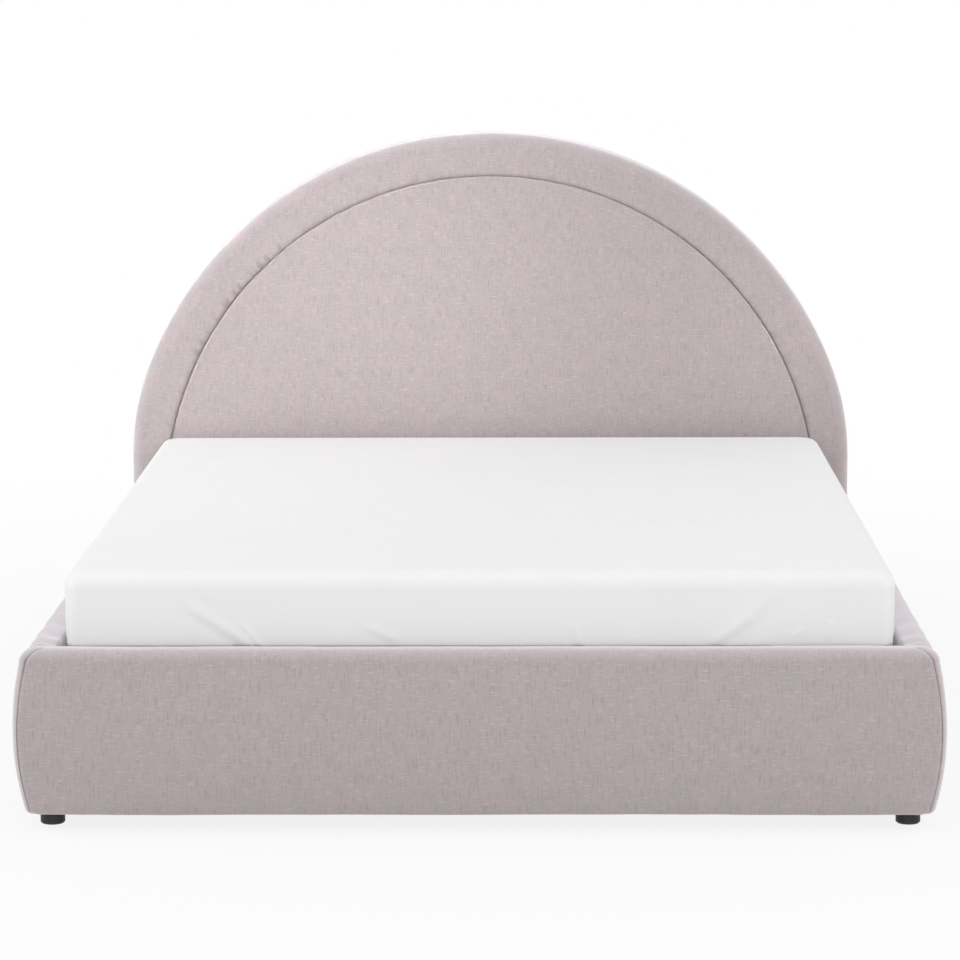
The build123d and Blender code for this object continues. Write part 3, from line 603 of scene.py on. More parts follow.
@dataclass
class PanelBlock:
    """A padded block on a rectangular plan whose sides may bulge and whose edges are rounded.

    It is stacked from plan outlines, one for each level, between a bottom and a top plate.
    """

    low: Vector
    high: Vector
    columns: int
    rows: int
    bulges: tuple[float, float, float, float]  # low X, high X, low Y, high Y
    radii: tuple[float, float, float, float]
    low_share: float = 1.0  # radius of the lower edges as a share of the upper ones
    wall_levels: int = 22
    round_levels: int = 8
    spread_x: Callable[[float], float] = float
    spread_y: Callable[[float], float] = float

    def levels(self) -> list[float]:
        """Works out the outlines' heights: close together where the edges are rounded.

        Returns:
            The heights from the bottom plate to the top one.
        """
        radius = max(self.radii)
        turns = [radius * (1 - cos(pi / 2 * i / self.round_levels)) for i in range(self.round_levels)]
        lower, upper = self.low.z + radius * self.low_share, self.high.z - radius
        wall = [lower + (upper - lower) * i / self.wall_levels for i in range(self.wall_levels + 1)]
        bottom = [self.low.z + self.low_share * turn for turn in turns]
        return bottom + wall + [self.high.z - turn for turn in reversed(turns)]

    def drum(self, z: float) -> float:
        """Share of the full bulge at a height: an arc of a circle, flat enough to be a parabola."""
        middle, half = (self.low.z + self.high.z) / 2, (self.high.z - self.low.z) / 2
        return 1 - ((z - middle) / half) ** 2

    def inset(self, z: float, radius: float) -> float:
        """Works out how far a rounded edge draws a side in.

        Args:
            z: The height.
            radius: The upper edge's radius.

        Returns:
            The distance from the straight side.
        """
        if z < (self.low.z + self.high.z) / 2:
            radius *= self.low_share
            over = max(0.0, self.low.z + radius - z)
        else:
            over = max(0.0, z - (self.high.z - radius))
        return radius - sqrt(max(0.0, radius * radius - over * over))

    def build(self) -> BMesh:
        """Stacks the outlines.

        Returns:
            The block's mesh, closed, with its plates divided into rows and columns.
        """
        bm = bmesh.new()
        levels = self.levels()
        plate = {"x_segments": self.columns, "y_segments": self.rows, "size": 0.5}
        bmesh.ops.create_grid(bm, **plate)
        rim = [edge for edge in bm.edges if edge.is_boundary]
        draw_out(bm, rim, Vector((0, 0, 1)), len(levels) - 1)
        bmesh.ops.create_grid(bm, matrix=Matrix.Translation((0, 0, len(levels) - 1)), **plate)
        bmesh.ops.remove_doubles(bm, verts=bm.verts, dist=MM)
        for vert in bm.verts:
            vert.co = self.place(vert.co, levels)
        return bm

    def place(self, unit: Vector, levels: list[float]) -> Vector:
        """Puts a point of the unit stack in its real place.

        Args:
            unit: Half a metre each way in plan, with the level's number for its height.
            levels: The levels' heights.

        Returns:
            The point in the bed's frame.
        """
        z = levels[round(unit.z)]
        drum = self.drum(z)
        near_x, far_x, near_y, far_y = (
            bulge * drum - self.inset(z, radius) for bulge, radius in zip(self.bulges, self.radii)
        )
        share_x, share_y = self.spread_x(unit.x + 0.5), self.spread_y(unit.y + 0.5)
        left, right = self.low.x - near_x, self.high.x + far_x
        front, back = self.low.y - near_y, self.high.y + far_y
        return Vector((left + (right - left) * share_x, front + (back - front) * share_y, z))


# Sub-assemblies


@dataclass
class SideRail:
    """A side rail's padded cover, from the footboard's back to the headboard's front."""

    side: Side
    cloth: Material
    bulge: float = 22 * MM
    outer_radius: float = 24 * MM
    inner_radius: float = 10 * MM
    low_share: float = 0.45
    under_edge: float = 100 * MM
    ripple_height: float = 2.2 * MM
    ripple_reach: float = 500 * MM
    ripple_start: float = 20 * MM
    ripple_count: float = 7.5  # cross folds over the first metre, closest at its start
    ripple_sway: float = 0.35  # how much of a fold's pitch it wanders across the rail
    swell_height: float = 1.3 * MM
    end_fade: float = 15 * MM

    def build(self) -> None:
        """Builds the cover in place of its plain solid."""
        node = f"side_rail_cover_{self.side.word}"
        low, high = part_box(node)
        sign = self.side.value
        bulges, radii = (0.0, self.bulge), (self.inner_radius, self.outer_radius)
        if self.side is Side.RIGHT:
            high.x -= self.bulge
        else:
            low.x += self.bulge
            bulges, radii = bulges[::-1], radii[::-1]
        outer = high.x if self.side is Side.RIGHT else low.x
        bm = PanelBlock(
            low,
            high,
            columns=10,
            rows=230,
            bulges=(*bulges, 0.0, 0.0),
            radii=(*radii, 0.0, 0.0),
            low_share=self.low_share,
            round_levels=10,
            spread_y=close_at_start,
        ).build()

        def on_cloth(place: Vector) -> OnCloth:
            """Unrolls the cover from its outer face over the top and down the inside.

            Args:
                place: A point of the cover.

            Returns:
                Its place on the cloth.
            """
            across = max(0.0, (outer - place.x) * sign)
            if across > abs(high.x - low.x) - MM:
                return place.y, high.z + across + (high.z - place.z)
            return place.y, place.z + (across if place.z > low.z + self.under_edge else -across)

        def pull(place: Vector, normal: Vector) -> float:
            """Puts cross folds on the top near the footboard, and a soft unevenness outside.

            Args:
                place: A point of the cover.
                normal: The way that it faces.

            Returns:
                How far it stands out.
            """
            along = place.y - low.y
            top = max(0.0, normal.z)
            fade = exp(-along / self.ripple_reach) * ease(along / self.ripple_start)
            sway = self.ripple_sway * sin(place.x * 34 * sign)
            phase = 2 * pi * (sqrt(along + self.ripple_start) * self.ripple_count + sway)
            folds = top * fade * self.ripple_height * (sin(phase) + 0.5 * unevenness(place, 60 * MM, sign))
            outside = 1.0 if normal.x * sign > 0.3 else top
            swells = outside * self.swell_height * unevenness(place, 240 * MM, 3 + sign)
            return (folds + swells) * ease(along / self.end_fade) * ease((high.y - place.y) / self.end_fade)

        lay_cloth(bm, on_cloth)
        swell(bm, pull)
        piece = finish_piece(bm, f"rail_upholstery_{self.side.word}", self.cloth, Slot.UPHOLSTERY)
        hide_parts(node)


@dataclass
class Footboard:
    """The footboard's padded cover: a front panel sewn to two end panels along upright corner seams."""

    cloth: Material
    bulge: float = 22 * MM
    outer_radius: float = 24 * MM
    inner_radius: float = 10 * MM
    low_share: float = 0.45
    top_puff: float = 4 * MM
    inner_puff: float = 3.5 * MM
    inner_puff_drop: float = 45 * MM
    rail_width: float = 50 * MM
    end_puff: float = 11 * MM
    end_reach: float = 200 * MM
    end_round: float = 2.6  # how much sooner than at the back the round is over
    seam_width: float = 5 * MM
    seam_depth: float = 3 * MM
    # Strength of the painted shade along the corner seams.
    painted_seam_shade: float = 0.8
    pucker_reach: float = 30 * MM
    pucker_height: float = 0.6 * MM
    swell_height: float = 1.6 * MM

    def build(self) -> None:
        """Builds the cover in place of its plain solid."""
        low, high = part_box("footboard_cover")
        low.x += self.bulge
        high.x -= self.bulge
        low.y += self.bulge
        block = PanelBlock(
            low,
            high,
            columns=210,
            rows=12,
            bulges=(self.bulge, self.bulge, self.bulge, 0.0),
            radii=(self.outer_radius, self.outer_radius, self.outer_radius, self.inner_radius),
            low_share=self.low_share,
            round_levels=10,
            spread_x=close_at_ends,
            spread_y=close_at_ends,
        )
        bm = block.build()

        def front_edge(z: float) -> tuple[float, float]:
            """Half the width and the front's place at a height."""
            out = self.bulge * block.drum(z) - block.inset(z, self.outer_radius)
            return high.x + out, low.y - out

        def on_cloth(place: Vector) -> OnCloth:
            """Unrolls the front up over the top, and each end round its corner.

            Args:
                place: A point of the cover.

            Returns:
                Its place on the cloth.
            """
            half, front = front_edge(place.z)
            back = place.y - front
            if abs(place.x) > half - MM and back > MM:
                return place.x + (back if place.x > 0 else -back), place.z
            return place.x, place.z + max(0.0, place.y - low.y)

        def corner_distance(place: Vector) -> float:
            """How far a point lies from the nearest upright seam."""
            half, front = front_edge(place.z)
            return hypot(half - self.end_puff - abs(place.x), place.y - front)

        def shade(place: Vector) -> float:
            """Painted shade, darkest in the seam itself."""
            return self.painted_seam_shade * exp(-((corner_distance(place) / (0.4 * self.seam_width)) ** 2))

        def pull(place: Vector, normal: Vector) -> float:
            """Puts in the corner seams with their puckers, the puffed top, and a soft unevenness.

            Args:
                place: A point of the cover.
                normal: The way that it faces.

            Returns:
                How far it stands out.
            """
            if normal.y > 0.5:
                between_rails = ease((high.x - self.rail_width - abs(place.x)) / (30 * MM))
                near_top = ease((place.z - high.z + self.inner_puff_drop) / (30 * MM))
                return self.inner_puff * between_rails * near_top
            away = corner_distance(place)
            groove = -self.seam_depth * exp(-((away / self.seam_width) ** 2))
            pucker = exp(-away / self.pucker_reach) * ease(away / (6 * MM))
            upright = Vector((0, 0, place.z))
            puckers = self.pucker_height * pucker * unevenness(upright, 16 * MM, 4 + normal.x)
            swells = self.swell_height * unevenness(place, 280 * MM, 7)
            swells += 0.5 * MM * unevenness(place, 70 * MM, 8)
            puff = self.top_puff * ease(normal.z * 1.6) * ease((high.y - place.y) / (20 * MM))
            return groove + puckers + swells + puff

        lay_cloth(bm, on_cloth)
        for vert in bm.verts:
            half, front = front_edge(vert.co.z)
            back = (vert.co.y - front) / max(MM, high.y - front)
            round_end = 1 - sin(pi / 2 * min(1.0, self.end_round * max(0.0, back)))
            reach = ease((abs(vert.co.x) - (half - self.end_reach)) / self.end_reach)
            vert.co.x -= (1 if vert.co.x > 0 else -1) * self.end_puff * round_end * reach
        paint_seam_shade(bm, shade)
        swell(bm, pull)
        piece = finish_piece(bm, "footboard_upholstery", self.cloth, Slot.UPHOLSTERY)
        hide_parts("footboard_cover")


@dataclass
class Headboard:
    """The arched headboard: a border band round a centre pad, with dust cloth stapled to its back."""

    cloth: Material
    dust_cloth: Material
    zinc: Material
    crown_radius: float = 901 * MM
    shoulder_radius: float = 615 * MM
    half_width: float = 881 * MM
    crown_centre: float = 329 * MM
    seam_radius: float = 797 * MM
    foot: float = 30 * MM
    front: float = 1017 * MM
    board_front: float = 1092 * MM
    back: float = 1114 * MM
    roll: float = 34 * MM
    seam_gap: float = 0.5 * MM
    seam_dip: float = 1.2 * MM
    border_edge: float = 13 * MM
    back_edge: float = 4 * MM
    centre_edge: float = 4 * MM
    centre_crown: float = 2.5 * MM
    mattress_line: float = 460 * MM
    flare: float = 1.8 * MM
    side_wall: float = 3.6 * MM
    turn_under: float = 45 * MM
    turned_cloth: float = 1.2 * MM
    clearance: float = 0.2 * MM
    step: float = 5 * MM
    dust_inset: float = 12 * MM
    dust_thickness: float = 0.7 * MM
    dust_gap: float = 2.6 * MM
    staple_crown: float = 10 * MM
    staple_wire: float = 1.1 * MM
    staple_inset: float = 21 * MM
    # Painted shade in the seam's groove and in short pleats beside it.
    groove_painted_shade: float = 0.75
    groove_half: float = 0.5 * MM
    groove_fade: float = 1.3 * MM
    pleat_painted_shade: float = 0.42
    pleat_pitch: float = 11 * MM
    pleat_group: float = 70 * MM
    pleat_fade: float = 5 * MM
    pucker_height: float = 2 * MM
    pucker_pitch: float = 16 * MM
    pucker_fade: float = 13 * MM
    gather_height: float = 0.9 * MM
    gather_pitch: float = 26 * MM
    gather_reach: float = 45 * MM
    swell_height: float = 1.2 * MM
    swell_pitch: float = 160 * MM
    centre_swell_height: float = 0.9 * MM
    centre_swell_pitch: float = 220 * MM

    @property
    def shoulder_x(self) -> float:
        """How far the shoulder arcs' centres lie from the middle."""
        return self.half_width - self.shoulder_radius

    @property
    def shoulder_z(self) -> float:
        """Height of the shoulder arcs' centres, from the tangent arcs."""
        gap = self.crown_radius - self.shoulder_radius
        return self.crown_centre + sqrt(gap * gap - self.shoulder_x**2)

    @property
    def join_angle(self) -> float:
        """The angle above level where a shoulder's arc meets the crown's."""
        return atan2(self.shoulder_z - self.crown_centre, self.shoulder_x)

    def build(self) -> None:
        """Builds the border, the centre pad, the dust cloth and its staples."""
        self.build_border()
        self.build_centre()
        self.build_back()

    def sweep(self, bm: BMesh, section: list[Any], centre: Point, turn: float, radius: float) -> list[Any]:
        """Spins a section about a level axis, in steps of about the same length.

        Args:
            bm: The mesh.
            section: The section's vertices and edges.
            centre: A point of the axis.
            turn: The angle, clockwise from the front.
            radius: Where the steps are measured.

        Returns:
            The section where it ends.
        """
        steps = round(turn * radius / self.step)
        return bmesh.ops.spin(
            bm, geom=section, cent=centre, axis=(0, 1, 0), angle=turn, steps=steps, use_merge=False
        )["geom_last"]

    def build_border(self) -> None:
        """Spins the border's section round the crown and a shoulder, and runs it down to the foot."""
        bm = bmesh.new()
        outer, inner = self.crown_radius, self.seam_radius + self.seam_gap
        section = [
            (inner, self.board_front),
            (inner, self.front + self.seam_dip),
            (outer, self.front),
            (outer, self.back + self.turned_cloth),
            (outer - self.turn_under, self.back + self.turned_cloth),
            (outer - self.turn_under, self.back + self.clearance),
            (outer - self.side_wall, self.back + self.clearance),
            (outer - self.side_wall, self.board_front),
        ]
        points = [(0, y, self.crown_centre + r) for r, y in section]
        rounds = [(1, 2, self.border_edge, 8), (2, 3, self.roll, 12), (3, 4, self.back_edge, 4)]
        draw_outline(bm, points, True, rounds, 9 * MM)
        crown_turn = pi / 2 - self.join_angle
        shoulder = (self.shoulder_x, 0, self.shoulder_z)
        last = list(bm.verts) + list(bm.edges)
        last = self.sweep(bm, last, (0, 0, self.crown_centre), crown_turn, self.crown_radius)
        last = self.sweep(bm, last, shoulder, pi / 2 - crown_turn, self.shoulder_radius)
        runs = round((self.shoulder_z - self.foot) / self.step)
        down = Vector((0, 0, -(self.shoulder_z - self.foot) / runs))
        bmesh.ops.contextual_create(bm, geom=draw_out(bm, last, down, runs))
        for vert in bm.verts:
            self.narrow(vert)
        half = list(bm.verts) + list(bm.edges) + list(bm.faces)
        bmesh.ops.mirror(bm, geom=half, axis="X", merge_dist=WELD)
        lay_cloth(bm, self.on_cloth)
        paint_seam_shade(bm, self.painted_seam_shade)
        swell(bm, self.border_swell)
        piece = finish_piece(bm, "headboard_border_upholstery", self.cloth, Slot.UPHOLSTERY)
        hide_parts("headboard_border_pad")

    def outline(self, place: Vector) -> tuple[Vector, Vector]:
        """Finds the outline's point that lies straight outwards from a place.

        Args:
            place: A point of the headboard.

        Returns:
            The outline's point and the outward direction, both with no Y.
        """
        side = -1.0 if place.x < 0 else 1.0
        if place.z <= self.shoulder_z:
            return Vector((side * self.half_width, 0, place.z)), Vector((side, 0, 0))
        centre, radius = Vector((side * self.shoulder_x, 0, self.shoulder_z)), self.shoulder_radius
        if atan2(place.z - centre.z, side * (place.x - centre.x)) >= self.join_angle:
            centre, radius = Vector((0, 0, self.crown_centre)), self.crown_radius
        outward = Vector((place.x - centre.x, 0, place.z - centre.z)).normalized()
        return centre + outward * radius, outward

    def outline_at(self, share: float) -> tuple[Vector, Vector]:
        """Finds a point of the arch's outline.

        Args:
            share: How much of the turn from the left side to the right one lies before it.

        Returns:
            The point and the outward direction there, both with no Y.
        """
        angle = pi * (1 - share)
        outward = Vector((cos(angle), 0, sin(angle)))
        if self.join_angle < angle < pi - self.join_angle:
            return Vector((0, 0, self.crown_centre)) + outward * self.crown_radius, outward
        side = 1 if outward.x > 0 else -1
        centre = Vector((side * self.shoulder_x, 0, self.shoulder_z))
        return centre + outward * self.shoulder_radius, outward

    def inside(self, place: Vector) -> float:
        """How far a point lies inside the outline."""
        edge, outward = self.outline(place)
        return (edge - place).dot(outward)

    def seam_distance(self, place: Vector) -> float:
        """Works out how far a point lies outside the seam, which is a half round on upright sides.

        Args:
            place: A point of the headboard.

        Returns:
            The distance, below zero inside the seam.
        """
        if place.z < self.crown_centre:
            return abs(place.x) - self.seam_radius
        return hypot(place.x, place.z - self.crown_centre) - self.seam_radius

    def around(self, place: Vector, radius: float) -> Vector:
        """A point's place along the arch at a radius, as a straight line for the noise."""
        return Vector((atan2(place.z - self.crown_centre, place.x) * radius, 0, 0))

    def band_width(self, edge: Vector, outward: Vector) -> float:
        """Measures the band straight inwards from the outline to the seam.

        Args:
            edge: A point of the outline.
            outward: The outward direction there.

        Returns:
            The band's width.
        """
        if edge.z < self.crown_centre:
            return abs(edge.x) - self.seam_radius
        offset = edge - Vector((0, 0, self.crown_centre))
        along = offset.dot(outward)
        return along - sqrt(along * along - offset.length_squared + self.seam_radius**2)

    def narrow(self, vert: BMVert) -> None:
        """Draws the band's inner edge onto the seam where the arch and the seam aren't parallel.

        Args:
            vert: A point of the band, which is moved.
        """
        edge, outward = self.outline(vert.co)
        inward = self.inside(vert.co)
        if inward < self.roll:
            return
        share = (inward - self.roll) / (self.crown_radius - self.seam_radius - self.roll)
        now = self.roll + share * (self.band_width(edge, outward) - self.roll)
        vert.co += outward * (inward - now)

    def on_cloth(self, place: Vector) -> OnCloth:
        """Lays the front cloth square to the bed, with the side's running on from it backwards.

        Args:
            place: A point of the headboard.

        Returns:
            Its place on the cloth.
        """
        _, outward = self.outline(place)
        depth = place.y - self.front if self.seam_distance(place) > 40 * MM else 0.0
        return place.x + outward.x * depth, place.z + outward.z * depth

    def painted_seam_shade(self, place: Vector) -> float:
        """Paints shade onto the cloth where it dips into the seam, beside it in its pleats, and where it
        turns to the back.

        Args:
            place: A point of the headboard.

        Returns:
            The share of painted shade.
        """
        away = self.seam_distance(place)
        if away > 4 * self.border_edge:
            # Painted shade where the cloth turns under to the back.
            return 0.8 * ease((place.y - self.back + 3 * MM) / (4 * MM))
        near = ease(1 - (abs(away) - self.groove_half) / self.groove_fade)
        groove = self.groove_painted_shade * near * ease((place.y - self.front - MM) / (4 * MM))
        if away <= 0:
            return groove
        # Painted shade in the pleats beside the seam, heavier towards the left.
        around = self.around(place, self.seam_radius)
        pleat = ease(unevenness(around, self.pleat_pitch, 2) / USUAL_SWING)
        gathered = ease(0.9 + 1.4 * unevenness(around, self.pleat_group, 4))
        left_more = 0.3 + 0.7 * ease((-place.x - 350 * MM) / (200 * MM))
        reach = exp(-max(0.0, away - self.border_edge) / self.pleat_fade)
        return max(groove, self.pleat_painted_shade * pleat * gathered * left_more * reach)

    def border_swell(self, place: Vector, normal: Vector) -> float:
        """Puts in puckers along the seam, gathers on the roll, and a soft unevenness.

        Args:
            place: A point of the border.
            normal: The way that it faces.

        Returns:
            How far it stands out.
        """
        away = self.seam_distance(place)
        if normal.y > 0.2 or (away < 4 * MM and normal.y > -0.3):
            return 0.0
        if abs(normal.y) < 0.2 and away > 4 * self.border_edge:
            behind_roll = place.y - self.front - self.roll
            return self.flare * ease(behind_roll / (self.back - self.front - self.roll))
        around = self.around(place, self.crown_radius)
        pucker = exp(-away / self.pucker_fade) * ease(away / (3 * MM))
        puckers = self.pucker_height * pucker * unevenness(around, self.pucker_pitch, 2)
        on_roll = ease(1 - self.inside(place) / self.gather_reach)
        gathers = self.gather_height * on_roll * unevenness(around, self.gather_pitch, 5)
        return puckers + gathers + self.swell_height * unevenness(place, self.swell_pitch, 11)

    def build_centre(self) -> None:
        """Spins the centre pad's section over its half round, and runs it down to the foot."""
        bm = bmesh.new()
        rim = self.seam_radius - 0.3 * MM
        section = [(0.0, self.front), (rim, self.front), (rim, self.board_front), (0.0, self.board_front)]
        points = [(-r, y, self.crown_centre) for r, y in section]
        draw_outline(bm, points, False, [(1, 2, self.centre_edge, 6)], 22 * MM)
        start = list(bm.verts) + list(bm.edges)
        last = self.sweep(bm, start, (0, 0, self.crown_centre), pi, self.seam_radius)
        runs = 24
        draw_out(bm, start + last, Vector((0, 0, -(self.crown_centre - self.foot) / runs)), runs)
        bmesh.ops.remove_doubles(bm, verts=bm.verts, dist=WELD)
        bmesh.ops.contextual_create(bm, geom=[edge for edge in bm.edges if edge.is_boundary])
        lay_cloth(bm, self.on_cloth)
        paint_seam_shade(bm, self.painted_seam_shade)
        swell(bm, self.centre_swell)
        piece = finish_piece(bm, "headboard_centre_upholstery", self.cloth, Slot.UPHOLSTERY)
        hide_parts("headboard_centre_pad")

    def centre_swell(self, place: Vector, normal: Vector) -> float:
        """Puts in a slight crown above the mattress, small pulls at the rim, and a soft unevenness.

        Args:
            place: A point of the centre pad.
            normal: The way that it faces.

        Returns:
            How far it stands out.
        """
        if normal.y > -0.5:
            return 0.0
        inside = -self.seam_distance(place)
        free = ease((place.z - self.mattress_line) / (200 * MM))
        crown = self.centre_crown * free * ease(inside / (250 * MM))
        around = self.around(place, 800 * MM)
        pulls = 0.3 * MM * exp(-inside / (10 * MM)) * unevenness(around, 11 * MM, 6)
        swells = self.centre_swell_height * free * unevenness(place, self.centre_swell_pitch, 13)
        return crown + pulls + swells

    def build_back(self) -> None:
        """Cuts the dust cloth to the arch, and staples it."""
        bm = bmesh.new()
        top = self.crown_centre + self.crown_radius
        behind = Matrix.Translation((0, self.back + self.dust_gap, top / 2))
        upright = Matrix.Rotation(pi / 2, 4, "X")
        bmesh.ops.create_grid(bm, x_segments=90, y_segments=62, size=1.0, matrix=behind @ upright)
        cuts = 72
        limits = [self.outline_at(index / cuts) for index in range(cuts + 1)]
        limits.append((Vector((0, 0, self.foot)), Vector((0, 0, -1))))
        for edge, outward in limits:
            bmesh.ops.bisect_plane(
                bm,
                geom=list(bm.verts) + list(bm.edges) + list(bm.faces),
                dist=WELD,
                plane_co=edge - outward * self.dust_inset,
                plane_no=outward,
                clear_outer=True,
            )
        flat_area = sum(face.calc_area() for face in bm.faces)
        lay_cloth(bm, lambda place: (place.x, place.z))
        for vert in bm.verts:
            loose = ease((self.inside(vert.co) - self.dust_inset) / (150 * MM))
            vert.co.y += loose * MM * (unevenness(vert.co, 300 * MM, 21) - 0.6)
        bmesh.ops.recalc_face_normals(bm, faces=bm.faces)
        bmesh.ops.solidify(bm, geom=list(bm.faces), thickness=self.dust_thickness)
        cloth = finish_piece(bm, "headboard_dust_cloth", self.dust_cloth, Slot.BACKING)
        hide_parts("headboard_back_cloth")
        staples = self.build_staples()

    def build_staples(self) -> Object:
        """Sets wire staples along the dust cloth's edge.

        Returns:
            The piece that holds them all.
        """
        bm = bmesh.new()
        places = [self.outline_at(index / 44) for index in range(45)]
        for side in Side:
            outward = Vector((side.value, 0, 0))
            upright = outward * self.half_width
            places += [(upright + Vector((0, 0, z * MM)), outward) for z in (80, 160, 240, 320)]
        places += [(Vector((x * 100 * MM, 0, self.foot)), Vector((0, 0, -1))) for x in range(-8, 9)]
        for edge, outward in places:
            spot = edge - outward * self.staple_inset
            spot.y = self.back + self.dust_gap + 0.3 * MM
            along = outward.cross(Vector((0, 1, 0)))
            turn = Matrix((along, Vector((0, 1, 0)), outward)).transposed().to_4x4()
            made = bmesh.ops.create_cube(bm, size=1.0)["verts"]
            bmesh.ops.scale(bm, verts=made, vec=(self.staple_crown, self.staple_wire, self.staple_wire))
            bmesh.ops.transform(bm, verts=made, matrix=Matrix.Translation(spot) @ turn)
        bmesh.ops.bevel(
            bm, geom=list(bm.edges), offset=0.3 * MM, segments=1, profile=0.5, affect="EDGES", material=-1
        )
        return finish_piece(bm, "dust_cloth_staples", self.zinc, Slot.ZINC)


class FoldKind(Enum):
    """How a fold in the sheet stands."""

    RIDGE = 1
    CREASE = -1


@dataclass(frozen=True)
class Fold:
    """A pull fold on the sheet's foot end, between two points given across and up."""

    start: tuple[float, float]
    end: tuple[float, float]
    width: float
    height: float
    kind: FoldKind = FoldKind.RIDGE
    lee_share: float = 0.45

    def lift(self, x: float, z: float) -> float:
        """Works out how far the fold moves the cloth out, with the hollow that runs along its lee.

        Args:
            x: The place across the bed.
            z: The place's height.

        Returns:
            The distance.
        """
        run = (self.end[0] - self.start[0], self.end[1] - self.start[1])
        length = hypot(*run)
        along = ((x - self.start[0]) * run[0] + (z - self.start[1]) * run[1]) / (length * length)
        aside = ((x - self.start[0]) * run[1] - (z - self.start[1]) * run[0]) / length
        taper = ease(along * 4) * ease((1.15 - along) * 3)
        body = exp(-((aside / self.width) ** 2))
        lee = exp(-(((aside - 1.3 * self.width) / self.width) ** 2))
        return self.kind.value * self.height * taper * (body - self.lee_share * lee)


@dataclass
class Mattress:
    """The mattress: a foam block in ticking under a white fitted sheet with elastic in its hem."""

    sheet_cloth: Material
    ticking: Material
    core_gap: float = 1.5 * MM
    sheet_gap: float = 0.4 * MM
    corner_radius: float = 28 * MM
    edge_radius: float = 30 * MM
    flank_belly: float = 3 * MM
    flank_rise: float = 35 * MM
    foot_belly: float = 12 * MM
    foot_rise: float = 8 * MM
    core_recess: float = 5 * MM
    core_relief: float = 0.6 * MM
    looseness: float = 1.2 * MM
    hem_turn: float = 90 * MM
    hem_width: float = 9 * MM
    hem_thickness: float = 1.4 * MM
    hem_drop: float = 1.2 * MM
    hem_corner: float = 30 * MM
    stop_top: float = 334 * MM
    strap_top: float = 343 * MM
    rail_top: float = 350 * MM
    folds: tuple[Fold, ...] = (
        Fold((-0.575, 0.437), (-0.428, 0.345), 12 * MM, 3.4 * MM),
        Fold((-0.462, 0.397), (-0.422, 0.352), 6 * MM, 2.4 * MM),
        Fold((-0.540, 0.475), (-0.520, 0.435), 12 * MM, 1.8 * MM),
        Fold((-0.222, 0.39), (-0.158, 0.36), 9 * MM, 2.0 * MM),
        Fold((0.441, 0.35), (0.525, 0.405), 10 * MM, 2.6 * MM),
        Fold((0.500, 0.392), (0.572, 0.455), 13 * MM, 1.9 * MM),
        Fold((0.486, 0.340), (0.560, 0.405), 15 * MM, 1.3 * MM, FoldKind.CREASE),
        Fold((0.182, 0.395), (0.19, 0.352), 6 * MM, 2.8 * MM),
        Fold((0.676, 0.402), (0.674, 0.36), 6 * MM, 2.6 * MM),
        Fold((0.624, 0.385), (0.604, 0.368), 7 * MM, 1.8 * MM),
    )

    def build(self) -> None:
        """Builds the foam core and the sheet over it."""
        low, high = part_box("mattress")
        core = self.build_core(low, high)
        self.build_sheet(low, high)

    def rounded_block(self, low: Vector, high: Vector, columns: int, rows: int, levels: int) -> BMesh:
        """Makes a block with rounded edges and rounded upright corners.

        Args:
            low: Its lowest corner.
            high: Its highest corner.
            columns: Divisions across.
            rows: Divisions along.
            levels: Divisions up the straight part of the sides.

        Returns:
            The closed mesh.
        """
        block = PanelBlock(
            low,
            high,
            columns=columns,
            rows=rows,
            bulges=(0.0, 0.0, 0.0, 0.0),
            radii=(self.edge_radius,) * 4,
            wall_levels=levels,
            round_levels=7,
            spread_x=close_at_ends,
            spread_y=close_at_ends,
        )
        bm = block.build()
        middle = (low + high) / 2
        for vert in bm.verts:
            inset = block.inset(vert.co.z, self.edge_radius)
            radius = self.corner_radius
            reach = Vector((high.x - middle.x - inset, high.y - middle.y - inset))
            away = Vector((vert.co.x - middle.x, vert.co.y - middle.y))
            over = Vector((abs(away.x) - (reach.x - radius), abs(away.y) - (reach.y - radius)))
            if over.x > 0 and over.y > 0:
                pull = max(over.x, over.y) / over.length
                vert.co.x = middle.x + (1 if away.x > 0 else -1) * (reach.x - radius + over.x * pull)
                vert.co.y = middle.y + (1 if away.y > 0 else -1) * (reach.y - radius + over.y * pull)
        return bm

    def side_belly(self, place: Vector, normal: Vector) -> float:
        """Swells the sides and the foot end out above the rails, which narrows the gap there.

        Args:
            place: A point of the mattress.
            normal: The way that it faces.

        Returns:
            How far it stands out.
        """
        sides = normal.x**2 * ease((place.z - self.rail_top + 5 * MM) / self.flank_rise)
        foot_end = max(0.0, -normal.y) ** 2 * ease((place.z - self.strap_top) / self.foot_rise)
        return max(self.flank_belly * sides, self.foot_belly * foot_end)

    def build_core(self, low: Vector, high: Vector) -> Object:
        """Builds the foam block that the sheet is pulled over.

        Args:
            low: The mattress's lowest corner.
            high: Its highest corner.

        Returns:
            The core.
        """
        gap = Vector((self.core_gap, self.core_gap, 0))
        bm = self.rounded_block(low + gap, high - gap - Vector((0, 0, self.core_gap)), 60, 72, 14)
        lay_cloth(bm, lambda place: (place.x, place.y + place.z))

        def soften(place: Vector, normal: Vector) -> float:
            """Makes the top and bottom uneven, and draws the sides in under the sheet.

            Args:
                place: A point of the core.
                normal: The way that it faces.

            Returns:
                How far it stands out.
            """
            if abs(normal.z) > 0.5:
                return -self.core_relief * (1 + unevenness(place, 200 * MM, 31))
            below = ease((high.z - place.z - 20 * MM) / (30 * MM))
            return self.side_belly(place, normal) - self.core_recess * below

        swell(bm, soften)
        core = finish_piece(bm, "mattress_core", self.ticking, Slot.MATTRESS, "platform")
        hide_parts("mattress")
        return core

